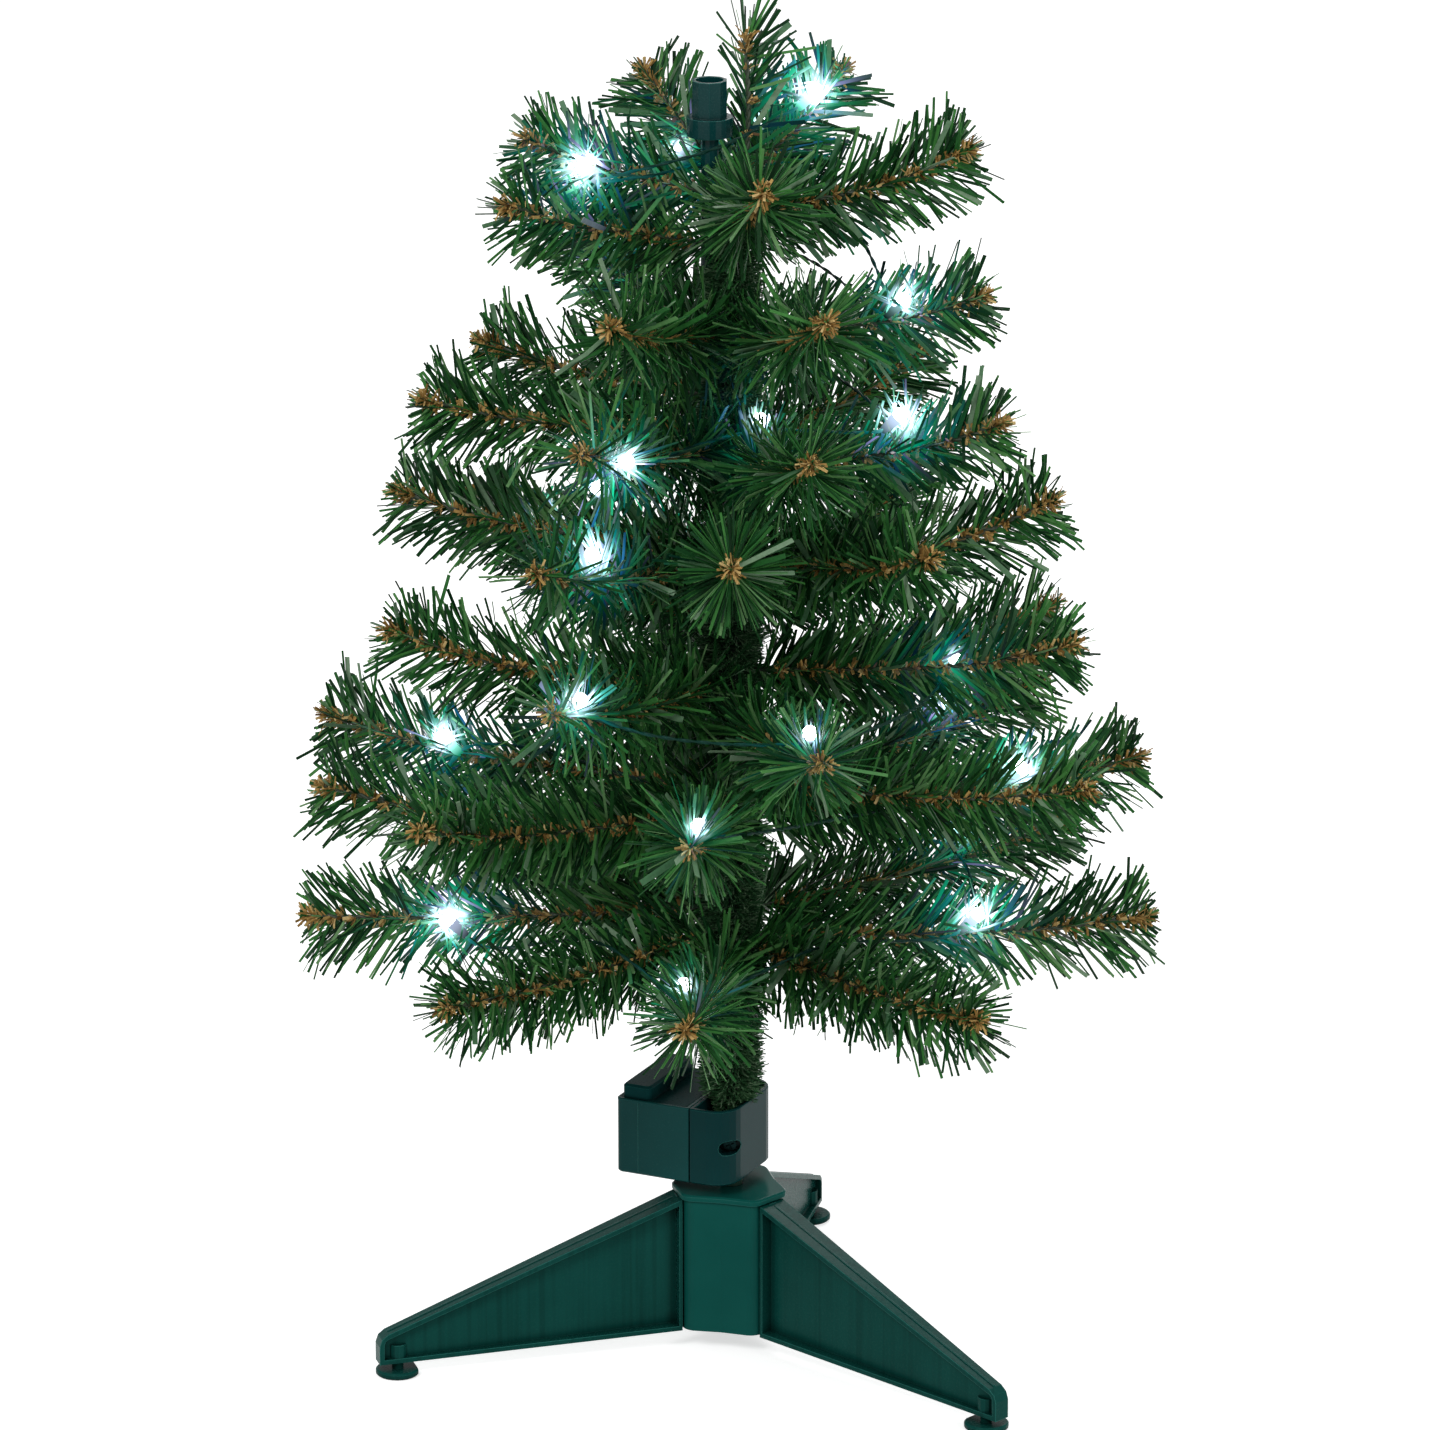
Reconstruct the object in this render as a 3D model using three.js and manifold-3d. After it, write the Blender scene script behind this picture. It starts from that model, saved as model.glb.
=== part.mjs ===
// Pre-lit tabletop Christmas tree on a three-legged moulded stand, with a battery box clamped to its pole.
// Millimetres, +Z up. The origin is on the floor, on the pole's axis, and the front of the tree faces -Y.
import * as THREE from "three";
import { mergeVertices } from "three/addons/utils/BufferGeometryUtils.js";
import Module from "manifold-3d";

const wasm = await Module();
wasm.setup();

// Overall sizes
const treeHeight = 610;
const foliageRadius = 190;

// Clearances, and the overrun of a cutting solid past what it cuts
const fit = 0.3;
const slideFit = 0.35;
const overrun = 1;

// Steps round a circle, round a small one, and round a corner
const roundSteps = 24;
const smallSteps = 12;
const cornerSteps = 5;

// Pole: a steel tube that stands in the hub and carries everything above it
const poleRadius = 5;
const poleWall = 0.9;

// Stand hub: a six-sided column, with three wide faces and three narrow ones that take the legs
const firstLegAngle = -43.7;
const legNames = ["right", "rear", "left"];
const hubWideReach = 20;
const hubNarrowReach = 24;
const hubBottom = 9.5;
const hubTop = 74;
const hubCornerRadius = 7;
const hubHollow = 0.9;
const hubWall = 2.4;
const capThickness = 2.6;
const capOverhang = 1.3;
const capCornerRadius = 4.4;
const capBevel = 0.8;
const socketFloor = 4.5;

// Leg: a tapered I-section with a rim round a thin web, and a T-shaped tongue that slides up into the hub
const legReach = 163;
const legGap = 0.6;
const legRootBottom = 8.6;
const legTipBottom = 6;
const legTipTop = 18.6;
const legTipRound = 4;
const legRootWidth = 14.6;
const legTipWidth = 8;
const legRim = 2.1;
const legRootRim = 1.4;
const legWeb = 2.4;
const legRidgeWidth = 1.3;
const legRidgeHeight = 0.6;
const tongueNeckWidth = 4.4;
const tongueNeckLength = 3.4;
const tongueHeadWidth = 9;
const tongueHeadLength = 2.8;

// Foot: a pad on a post that is pressed into the end of each leg
const footInset = 9;
const padRadius = 9.8;
const padThickness = 3;
const padEdge = 0.7;
const padFlat = 8.2;
const postRadius = 2.6;
const postDepth = 7;
const bossWall = 1.3;

// Battery box, in its own frame: turned about the pole, with its width along X and its depth along Y
const boxTurn = -25;
const boxLeft = -45.5;
const boxSeam = -9.9;
const boxRight = 10.2;
const boxFront = -23.4;
const boxRear = 26.8;
const boxBottom = 80;
const boxHeight = 35;
const boxWall = 1.5;
const boxCornerRadius = 2.6;
const boxEdge = 0.8;
const boxTopEdge = 0.45;
const deckThickness = 1.4;
const deckDrop = 12.8;

// Battery cover: a flat lid between the long walls of the bay that slides off to the left, with a hollow grip
// along its left end
const coverThickness = 1.4;
const coverSink = 0.2;
const gripInset = 2;
const gripWidth = 14;
const gripRise = 6.2;
const gripWall = 1.3;
const gripCornerRadius = 2.6;
const gripEdge = 1;

// Bottom cover of the circuit compartment, and its two screws
const plateThickness = 1.6;
const screwBossRadius = 2.8;
const screwHoleRadius = 1.3;
const screwShankRadius = 1;
const screwHeadRadius = 2.3;
const screwHeadHeight = 1.1;
const screwLength = 9;
const screwInset = 4.6;
const crossWidth = 0.6;

// Three cells in a row, with a contact strip at each end
const cellCount = 3;
const cellRadius = 5.25;
const cellLength = 44.5;
const cellNubRadius = 1.9;
const cellNubLength = 0.8;
const contactThickness = 0.4;
const contactHeight = 8;
const contactInset = 1;
const contactBossRadius = 1.6;
const contactBossHeight = 0.25;

// Circuit board with its slide switch and timer chip
const boardThickness = 1.6;
const boardWidth = 27;
const boardDepth = 31;
const boardRise = 7;
const boardPostRadius = 2;
const switchBodyLength = 12.4;
const switchBodyWidth = 5.2;
const switchBodyHeight = 4.2;
const knobLength = 3.6;
const knobHeight = 2.4;
const knobReach = 1.6;
const switchTravel = 4;
const knobRibWidth = 0.5;
const knobRibHeight = 0.35;
const knobRibShares = [0.2, 0.5, 0.8];
const chipLength = 9;
const chipWidth = 5;
const chipHeight = 1.5;
const chipInset = 5;

// Pole clamp: the right part of the box, with the pole's bore, the trunk's recess and the clamping screw
const clampCornerRadius = 11.5;
const recessDepth = 10.5;
const recessWall = 1.7;
const dovetailNeck = 12;
const dovetailWide = 15;
const dovetailLength = 1.1;
const clampScrewAngle = -67;
const clampScrewRecessRadius = 3.3;
const clampScrewRecessSpread = 1.6;
const clampScrewRecessDepth = 7.5;
const clampScrewRadius = 1.75;
const clampScrewHeadRadius = 2.9;
const clampScrewHeadHeight = 2.2;

// Trunk garland: short dense bristles wound round the pole, ribbed where the turns lie
const garlandRootRadius = 12.2;
const garlandRibRadius = 14;
const garlandNeckRadius = 7;
const garlandNeckHeight = 15.4;
const garlandPitch = 15;
const garlandSides = 10;
const garlandBottomLift = 2;
const garlandShortfall = 72;
const poleTopReach = 3;
const tierSplitShares = [0.348, 0.45, 0.627];

// Branch stems, and the strands that stand for their needles, in whorls of three and one at the tip
const stemRootReach = 9;
const stemRootRadius = 2.1;
const stemTipRadius = 1.5;
const stemDip = 3;
const stemShortfall = 10;
const stemSides = 3;
const stemKneeShares = [0.42, 0.78];
const stemRiseShares = [0.3, 0.62];
const besideTopperAngle = 112;
const steepStem = 0.5;
const whorlShares = [0.42, 0.66, 0.9];
const strandLength = 27;
const strandWidth = 2.4;
const strandTipShare = 0.7;
const lastStrandShare = 0.5;
const strandClearance = 0.45;
const strandLean = 52;
const lowestStrand = 138;
// Turn from each whorl to the next, and how many turns are tried for a clear one
const spiralTurn = 137.5;
const rollTries = 24;

// Branches as rows of: tier, azimuth in degrees, reach as a share of the foliage's radius, height of the root
// as a share of the garland's top, and height of the tip as a share of the tree's height
const branchShares = [
  [0, 3, 0.99, 0.3538, 0.321],
  [0, -48, 0.85, 0.3515, 0.314],
  [0, 178, 1, 0.3787, 0.323],
  [0, -135, 0.925, 0.3628, 0.326],
  [0, -98, 0.745, 0.3401, 0.318],
  [0, 31, 0.95, 0.3742, 0.352],
  [0, 92, 0.88, 0.3572, 0.322],
  [0, 136, 0.93, 0.3685, 0.345],
  [1, 4.5, 0.965, 0.4649, 0.44],
  [1, -27, 0.92, 0.4875, 0.464],
  [1, 170.5, 0.97, 0.4819, 0.464],
  [1, -173.7, 0.962, 0.4445, 0.436],
  [1, -141, 0.92, 0.4649, 0.449],
  [1, -96, 0.875, 0.4819, 0.466],
  [1, 37, 0.93, 0.4762, 0.452],
  [1, 104, 0.9, 0.4535, 0.44],
  [2, 17, 0.8, 0.5669, 0.54],
  [2, -20, 0.84, 0.5839, 0.558],
  [2, -165, 0.815, 0.5669, 0.562],
  [2, -119, 0.845, 0.5726, 0.55],
  [2, -76, 0.867, 0.5442, 0.524],
  [2, 100, 0.83, 0.5726, 0.545],
  [2, 56, 0.8, 0.6293, 0.61],
  [2, 140, 0.8, 0.6179, 0.6],
  [2, -8, 0.755, 0.6576, 0.648],
  [2, 170.5, 0.797, 0.6803, 0.635],
  [2, -52, 0.735, 0.6803, 0.647],
  [2, -90, 0.763, 0.6916, 0.656],
  [2, -125, 0.773, 0.6746, 0.641],
  [3, -17, 0.655, 0.7529, 0.711],
  [3, -171.6, 0.723, 0.7823, 0.722],
  [3, -119.5, 0.696, 0.771, 0.724],
  [3, -75, 0.708, 0.7597, 0.724],
  [3, 96, 0.69, 0.754, 0.71],
  [3, 165, 0.61, 0.8107, 0.744],
  [3, 40, 0.6, 0.7653, 0.72],
  [3, 128, 0.6, 0.8617, 0.8],
  [3, -10.2, 0.594, 0.8617, 0.797],
  [3, -116.7, 0.618, 0.8674, 0.809],
  [3, -70.3, 0.643, 0.8617, 0.817],
  [3, -157.8, 0.557, 0.9411, 0.871],
  [3, -81.5, 0.506, 0.9581, 0.9],
  [3, -13.5, 0.562, 0.9638, 0.904],
  [3, -165, 0.49, 0.9808, 0.912],
  [3, 78, 0.47, 0.9524, 0.89],
  [3, 151.6, 0.24, 0.9898, 0.945],
  [3, 26, 0.3, 0.9842, 0.944],
];
// The leader stands beside the pole's top: its distance from the axis, and its tip as a share of the height
const leaderReach = 6;
const leaderTipShare = 0.977;

// Topper socket: a hollow tube with a collar, on a stem that lies along the pole
const topperStemRadius = 3.85;
const topperStemLength = 57.4;
const topperCollarRadius = 10;
const topperCollarLift = 14.4;
const topperCollarHeight = 8.2;
const topperTubeRadius = 7.75;
const topperBoreRadius = 6.1;
const topperTubeHeight = 16;
const topperFloor = 2;
const topperTubeSides = 10;

// Light string: a thin wire from the box to the top, with a moulded holder at each lamp
const wireRadius = 0.8;
const wireSides = 8;
const wireStepsPerPoint = 2;
const holderRadius = 2.7;
const holderNeckRadius = 1.9;
const holderLength = 8;
const holderCup = 2.2;
const holderWall = 0.6;
const bulbRadius = 1.75;
const bulbReach = 5;
const lampSides = 6;
// The wire's route where it leaves the box, point by point: X, Y, Z
const wireStart = [
  [-8.4, 8.2, 108],
  [-1, 12, 108.5],
  [3, 15.5, 122],
];
// The rest of the route: X and Y as shares of the foliage's radius, Z as a share of the tree's height, and 1
// where a lamp stands on it
const wireRouteShares = [
  [-0.326, 0.179, 0.305, 0],
  [-0.482, 0.466, 0.346, 1],
  [0.508, 0.305, 0.349, 1],
  [0.536, -0.005, 0.317, 1],
  [0.211, -0.232, 0.328, 0],
  [-0.098, -0.428, 0.313, 1],
  [-0.3, -0.316, 0.339, 0],
  [-0.619, -0.02, 0.315, 1],
  [-0.632, 0.07, 0.444, 1],
  [-0.126, -0.084, 0.43, 0],
  [-0.069, -0.838, 0.472, 1],
  [0.316, -0.179, 0.423, 0],
  [0.633, 0.02, 0.426, 1],
  [0.211, 0.084, 0.43, 0],
  [0.463, 0.349, 0.444, 1],
  [-0.103, 0.584, 0.539, 1],
  [-0.408, 0.342, 0.584, 1],
  [0.147, 0.263, 0.544, 0],
  [0.477, -0.138, 0.523, 1],
  [0.166, -0.686, 0.524, 1],
  [-0.319, -0.636, 0.543, 1],
  [-0.421, -0.442, 0.61, 0],
  [-0.289, -0.387, 0.625, 1],
  [-0.279, -0.448, 0.68, 1],
  [-0.216, -0.447, 0.697, 1],
  [0.054, -0.156, 0.703, 1],
  [0.348, -0.105, 0.7, 1],
  [0.158, 0.263, 0.721, 0],
  [-0.047, 0.453, 0.699, 1],
  [-0.239, 0.308, 0.792, 1],
  [0.137, 0.179, 0.807, 0],
  [0.354, -0.092, 0.783, 1],
  [0.253, 0.179, 0.839, 0],
  [0.063, 0.292, 0.879, 1],
  [-0.087, 0.019, 0.883, 1],
  [-0.179, -0.142, 0.887, 0],
  [-0.298, -0.118, 0.881, 1],
  [-0.042, -0.158, 0.907, 0],
  [0.156, 0.052, 0.922, 1],
];

// Values worked out from the sizes above
const capBottom = hubTop - capThickness;
const poleBore = poleRadius + fit;
const poleBottom = hubBottom + socketFloor + fit;
const legStart = hubNarrowReach + legGap;
const legRootTop = capBottom - legGap;
const boxTop = boxBottom + boxHeight;
const coverBottom = boxTop - coverSink - coverThickness;
const deckTop = boxTop - deckDrop;
const deckBottom = deckTop - deckThickness;
const bayLeft = boxLeft + boxWall;
const bayRight = boxSeam - boxWall;
const bayFront = boxFront + boxWall;
const bayRear = boxRear - boxWall;
const bayMiddle = (bayFront + bayRear) / 2;
const cellPitch = (bayRight - bayLeft - 2 * cellRadius * cellCount) / (cellCount + 1) + 2 * cellRadius;
const cellHeight = deckTop + fit + cellRadius;
const boardTop = boxBottom + plateThickness + boardRise + boardThickness;
const switchLeft = (bayLeft + bayRight) / 2 - boardWidth / 2;
const clampLeft = boxSeam + fit;
const recessBottom = boxTop - recessDepth;
const footReach = legReach - footInset;
const garlandBottom = recessBottom + garlandBottomLift;
const garlandTop = treeHeight - garlandShortfall;
const poleTop = garlandTop + poleTopReach;
const topperCollarBottom = garlandTop + topperCollarLift;
const topperStemBottom = topperCollarBottom - topperStemLength;
const topperX = -(poleRadius + fit + topperStemRadius);
const topperTop = topperCollarBottom + topperCollarHeight + topperTubeHeight;
const leaderTip = treeHeight * leaderTipShare;

// Geometry helpers
function asSolid(geometry) {
  geometry.deleteAttribute("normal");
  geometry.deleteAttribute("uv");
  const merged = mergeVertices(geometry);
  const mesh = new wasm.Mesh({
    numProp: 3,
    vertProperties: new Float32Array(merged.attributes.position.array),
    triVerts: new Uint32Array(merged.index.array),
  });
  return new wasm.Manifold(mesh);
}

function asGeometry(solid) {
  const mesh = solid.getMesh();
  const geometry = new THREE.BufferGeometry();
  geometry.setAttribute("position", new THREE.BufferAttribute(new Float32Array(mesh.vertProperties), 3));
  geometry.setIndex(new THREE.BufferAttribute(new Uint32Array(mesh.triVerts), 1));
  geometry.computeVertexNormals();
  return geometry;
}

function joined(solids) {
  return solids.reduce((whole, piece) => whole.add(piece));
}

function block(x0, x1, y0, y1, z0, z1) {
  const geometry = new THREE.BoxGeometry(x1 - x0, y1 - y0, z1 - z0);
  geometry.translate((x0 + x1) / 2, (y0 + y1) / 2, (z0 + z1) / 2);
  return asSolid(geometry);
}

function post(x, y, radius, z0, z1, steps = roundSteps) {
  const geometry = new THREE.CylinderGeometry(radius, radius, z1 - z0, steps);
  geometry.rotateX(Math.PI / 2);
  geometry.translate(x, y, (z0 + z1) / 2);
  return asSolid(geometry);
}

// A solid that stands on an outline of [x, y] points
function prism(outline, z0, z1) {
  const shape = new THREE.Shape(outline.map(([x, y]) => new THREE.Vector2(x, y)));
  const geometry = new THREE.ExtrudeGeometry(shape, { depth: z1 - z0, bevelEnabled: false });
  geometry.translate(0, 0, z0);
  return asSolid(geometry);
}

// A prism whose top edge, or bottom edge with a negative bevel, is drawn in by a bevel
function bevelledPrism(outlineAt, z0, z1, bevel) {
  const depth = Math.abs(bevel);
  const body = bevel > 0 ? prism(outlineAt(0), z0, z1 - depth) : prism(outlineAt(0), z0 + depth, z1);
  const from = bevel > 0 ? z1 - depth : z0 + depth;
  const to = bevel > 0 ? z1 : z0;
  return body.add(frustum(outlineAt(0), outlineAt(depth), from, to));
}

// A prism drawn in by a bevel at its bottom edge and by another at its top edge
function edgedPrism(outlineAt, z0, z1, lower, upper) {
  const middle = (z0 + z1) / 2;
  return bevelledPrism(outlineAt, z0, middle, -lower).add(bevelledPrism(outlineAt, middle, z1, upper));
}

// The solid between two outlines of as many points at two heights
function frustum(lower, upper, zLower, zUpper) {
  const count = lower.length;
  const points = [...lower.map(([x, y]) => [x, y, zLower]), ...upper.map(([x, y]) => [x, y, zUpper])];
  const faces = [];
  for (let i = 0; i < count; i += 1) {
    const next = (i + 1) % count;
    faces.push([i, next, count + next], [i, count + next, count + i]);
    if (i > 0 && i < count - 1) {
      faces.push([0, i + 1, i], [count, count + i, count + i + 1]);
    }
  }
  return asSolid(facedGeometry(points, zUpper > zLower ? faces : faces.map(([a, b, c]) => [a, c, b])));
}

function facedGeometry(points, faces) {
  const geometry = new THREE.BufferGeometry();
  geometry.setAttribute("position", new THREE.Float32BufferAttribute(points.flat(), 3));
  geometry.setIndex(faces.flat());
  return geometry;
}

// A solid of revolution about the Z axis from a closed profile of [radius, z] points
function turned(profile, steps = roundSteps) {
  const points = profile.map(([radius, z]) => new THREE.Vector2(radius, z));
  const geometry = new THREE.LatheGeometry(points, steps);
  geometry.rotateX(Math.PI / 2);
  return asSolid(geometry);
}

function arc(cx, cy, radius, from, to, steps = cornerSteps) {
  const points = [];
  for (let i = 0; i <= steps; i += 1) {
    const angle = THREE.MathUtils.degToRad(from + ((to - from) * i) / steps);
    points.push([cx + radius * Math.cos(angle), cy + radius * Math.sin(angle)]);
  }
  return points;
}

// A rectangle with its own radius at each corner: front left, front right, rear right, rear left
function roundedRectangle(x0, x1, y0, y1, radii) {
  const [frontLeft, frontRight, rearRight, rearLeft] = radii;
  return [
    ...arc(x0 + frontLeft, y0 + frontLeft, frontLeft, 180, 270),
    ...arc(x1 - frontRight, y0 + frontRight, frontRight, 270, 360),
    ...arc(x1 - rearRight, y1 - rearRight, rearRight, 0, 90),
    ...arc(x0 + rearLeft, y1 - rearLeft, rearLeft, 90, 180),
  ];
}

// Turns a solid made along +Z at the origin so that it points along a direction from a place
function aimed(solid, place, direction) {
  const turn = new THREE.Quaternion().setFromUnitVectors(new THREE.Vector3(0, 0, 1), direction);
  const matrix = new THREE.Matrix4().compose(place, turn, new THREE.Vector3(1, 1, 1));
  return solid.transform(matrix.elements);
}

// Colours and finishes
const finishes = {
  standPlastic: { color: 0x0e4a40, roughness: 0.42, metalness: 0 },
  boxPlastic: { color: 0x0d4238, roughness: 0.4, metalness: 0 },
  steel: { color: 0xb9bcc0, roughness: 0.3, metalness: 1 },
  greenPole: { color: 0x17352a, roughness: 0.5, metalness: 0.2 },
  foliage: { color: 0x1c5a2c, roughness: 0.6, metalness: 0 },
  wire: { color: 0x0a2f22, roughness: 0.5, metalness: 0 },
  lamp: { color: 0xeaf6ff, roughness: 0.15, metalness: 0 },
  board: { color: 0x1d6b38, roughness: 0.5, metalness: 0 },
  cell: { color: 0x3c4046, roughness: 0.35, metalness: 0.4 },
  black: { color: 0x151515, roughness: 0.5, metalness: 0 },
};

const tree = new THREE.Group();
const box = new THREE.Group();
box.rotation.z = THREE.MathUtils.degToRad(boxTurn);
tree.add(box);

function addPiece(group, name, solid, finish) {
  const mesh = new THREE.Mesh(asGeometry(solid), new THREE.MeshStandardMaterial(finishes[finish]));
  mesh.name = name;
  group.add(mesh);
  return mesh;
}

// Stand hub
function hubOutline(inset, cornerRadius) {
  const wide = hubWideReach - inset;
  const narrow = hubNarrowReach - inset;
  const corner = Math.max(cornerRadius - inset, capBevel);
  const sixth = Math.PI / 3;
  const points = [];
  for (let side = 0; side < 6; side += 1) {
    const near = side % 2 === 0 ? narrow : wide;
    const next = side % 2 === 0 ? wide : narrow;
    // The rounded corner between this face and the next, an arc that touches both
    const facing = side * sixth;
    const along = (next - corner - (near - corner) * Math.cos(sixth)) / Math.sin(sixth);
    const cx = (near - corner) * Math.cos(facing) - along * Math.sin(facing);
    const cy = (near - corner) * Math.sin(facing) + along * Math.cos(facing);
    points.push(...arc(cx, cy, corner, side * 60, side * 60 + 60));
    // The wide faces are slightly hollow
    if (side % 2 === 0) {
      const middle = facing + sixth;
      const reach = wide - hubHollow;
      points.push([reach * Math.cos(middle), reach * Math.sin(middle)]);
    }
  }
  return points;
}

function tongueOutline(clearance) {
  const neck = tongueNeckWidth / 2 + clearance;
  const head = tongueHeadWidth / 2 + clearance;
  const headStart = hubNarrowReach - tongueNeckLength + clearance;
  const headEnd = headStart - tongueHeadLength - 2 * clearance;
  const outer = legStart + overrun;
  return [
    [headEnd, -head],
    [headStart, -head],
    [headStart, -neck],
    [outer, -neck],
    [outer, neck],
    [headStart, neck],
    [headStart, head],
    [headEnd, head],
  ];
}

function hub() {
  const column = prism(hubOutline(0, hubCornerRadius), hubBottom, capBottom + overrun);
  const capOutline = (inset) => hubOutline(inset - capOverhang, capCornerRadius);
  const cap = bevelledPrism(capOutline, capBottom, hubTop, capBevel);
  let solid = column.add(cap);
  solid = solid.subtract(post(0, 0, poleBore, hubBottom + socketFloor, hubTop + overrun));
  const pocketInner = poleBore + hubWall;
  const pocketOuter = hubWideReach - hubWall - hubHollow;
  const pocketHalf = (hubWideReach - hubWall) / 2;
  for (let leg = 0; leg < legNames.length; leg += 1) {
    const slot = prism(tongueOutline(slideFit), hubBottom - overrun, capBottom);
    const pocketTop = capBottom - hubWall;
    const pocket = block(pocketInner, pocketOuter, -pocketHalf, pocketHalf, hubBottom - overrun, pocketTop);
    solid = solid.subtract(slot.rotate([0, 0, leg * 120]));
    solid = solid.subtract(pocket.rotate([0, 0, leg * 120 + 60]));
  }
  return solid;
}

const stand = new THREE.Group();
stand.rotation.z = THREE.MathUtils.degToRad(firstLegAngle);
tree.add(stand);
addPiece(stand, "stand_hub", hub(), "standPlastic");

// Legs: the side view is an outline of [reach, height] points, extruded across and cut to its taper in plan
function legSide(inset) {
  const slope = (legRootTop - legTipTop) / (legReach - legStart);
  const drop = inset * Math.hypot(1, slope);
  const round = Math.max(legTipRound - inset, legRidgeHeight);
  const chamfer = round * (1 - Math.SQRT1_2);
  const rootX = legStart + (inset * legRootRim) / legRim;
  const tipX = legReach - inset;
  const tipTop = legTipTop + inset * slope - drop;
  return [
    [rootX, legRootBottom + inset],
    [tipX, legTipBottom + inset],
    [tipX, tipTop - round],
    [tipX - chamfer, tipTop - chamfer + slope * chamfer],
    [tipX - round, tipTop + slope * round],
    [rootX, legRootTop - drop - (rootX - legStart) * slope],
  ];
}

// Stands an outline of [reach, height] points across the leg, from one side to the other
function across(outline, y0, y1) {
  return prism(outline, -y1, -y0).rotate([90, 0, 0]);
}

function legRidge() {
  const slope = (legRootTop - legTipTop) / (legReach - legStart);
  const end = legReach - legTipRound;
  const endTop = legTipTop + slope * legTipRound;
  return [
    [legStart + legRim, legRootTop - slope * legRim - legRim / 2],
    [end, endTop - legRim / 2],
    [end, endTop],
    [end - legRidgeHeight, endTop + legRidgeHeight],
    [legStart + legRim + legRidgeHeight, legRootTop - slope * legRim],
  ];
}

function leg() {
  const half = legRootWidth / 2;
  const tipHalf = legTipWidth / 2;
  const web = legWeb / 2;
  const plan = prism(
    [
      [legStart - overrun, -half],
      [legReach + overrun, -tipHalf],
      [legReach + overrun, tipHalf],
      [legStart - overrun, half],
    ],
    0,
    hubTop,
  );
  let solid = across(legSide(0), -half, half).intersect(plan);
  solid = solid.subtract(across(legSide(legRim), web, half + overrun));
  solid = solid.subtract(across(legSide(legRim), -half - overrun, -web));
  solid = solid.add(across(legRidge(), -legRidgeWidth / 2, legRidgeWidth / 2));
  const tongue = prism(tongueOutline(0), legRootBottom, capBottom - legGap);
  const bossTop = legTipBottom + postDepth + bossWall;
  solid = solid.add(tongue);
  const bossBottom = legTipBottom + legRim / 2;
  solid = solid.add(post(footReach, 0, postRadius + bossWall, bossBottom, bossTop, smallSteps));
  return solid.subtract(post(footReach, 0, postRadius + fit, 0, legTipBottom + postDepth + fit, smallSteps));
}

function foot() {
  const profile = [
    [0, 0],
    [padRadius - padEdge, 0],
    [padRadius, padEdge],
    [padRadius, padThickness - padEdge],
    [padRadius - padEdge, padThickness],
    [postRadius, padThickness],
    [postRadius, legTipBottom + postDepth],
    [0, legTipBottom + postDepth],
  ];
  const flat = block(-padRadius - overrun, -padFlat, -padRadius, padRadius, -overrun, padThickness + overrun);
  return turned(profile).subtract(flat).translate([footReach, 0, 0]);
}

legNames.forEach((name, i) => {
  const side = new THREE.Group();
  side.rotation.z = (i * 2 * Math.PI) / legNames.length;
  stand.add(side);
  addPiece(side, `leg_${name}`, leg(), "standPlastic");
  addPiece(side, `foot_${name}`, foot(), "standPlastic");
});

// Battery box: the housing of the cells and the circuit
function housingOutline(inset) {
  const radius = Math.max(boxCornerRadius - inset, boxEdge);
  const right = boxSeam - (inset > boxEdge ? inset : 0);
  const rightRadius = boxEdge;
  const radii = [radius, rightRadius, rightRadius, radius];
  return roundedRectangle(boxLeft + inset, right, boxFront + inset, boxRear - inset, radii);
}

const screwPlaces = [
  [bayLeft + screwInset, bayFront + screwInset],
  [bayRight - screwInset, bayRear - screwInset],
];

function dovetail(clearance) {
  const neck = dovetailNeck / 2 + clearance;
  const wide = dovetailWide / 2 + 2 * clearance;
  const end = boxSeam - dovetailLength - clearance;
  const start = clampLeft + overrun;
  return [
    [start, bayMiddle - neck],
    [start, bayMiddle + neck],
    [boxSeam, bayMiddle + neck],
    [end, bayMiddle + wide],
    [end, bayMiddle - wide],
    [boxSeam, bayMiddle - neck],
  ];
}

function batteryHousing() {
  const outer = edgedPrism(housingOutline, boxBottom, boxTop, boxEdge, boxTopEdge);
  const bay = prism(housingOutline(boxWall), deckTop, boxTop + overrun);
  const below = prism(housingOutline(boxWall), boxBottom - overrun, deckBottom);
  let solid = outer.subtract(bay).subtract(below);
  const rail = block(
    bayRight - boxWall,
    bayRight + overrun,
    bayMiddle - dovetailWide / 2 - boxWall,
    bayMiddle + dovetailWide / 2 + boxWall,
    boxBottom + plateThickness + fit,
    deckBottom + overrun,
  );
  solid = solid.add(rail).subtract(prism(dovetail(fit), boxBottom - overrun, deckBottom - fit));
  for (const [x, y] of screwPlaces) {
    const foot = boxBottom + plateThickness + fit;
    const boss = post(x, y, screwBossRadius, foot, deckBottom + overrun, smallSteps);
    solid = solid.add(boss).subtract(post(x, y, screwHoleRadius, boxBottom, deckBottom - fit, smallSteps));
  }
  const knobZ = boardTop + switchBodyHeight / 2;
  const slotHalf = (knobLength + switchTravel) / 2 + slideFit;
  const slotHigh = knobHeight / 2 + slideFit;
  const slot = block(
    boxLeft - overrun,
    bayLeft + overrun,
    bayMiddle - slotHalf,
    bayMiddle + slotHalf,
    knobZ - slotHigh,
    knobZ + slotHigh,
  );
  solid = solid.subtract(slot).subtract(wireHole());
  // The left wall is lower where the cover slides out over it
  const sill = coverBottom - slideFit;
  const way = block(boxLeft - overrun, bayLeft + boxCornerRadius, bayFront, bayRear, sill, boxTop + overrun);
  return solid.subtract(way);
}

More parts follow.
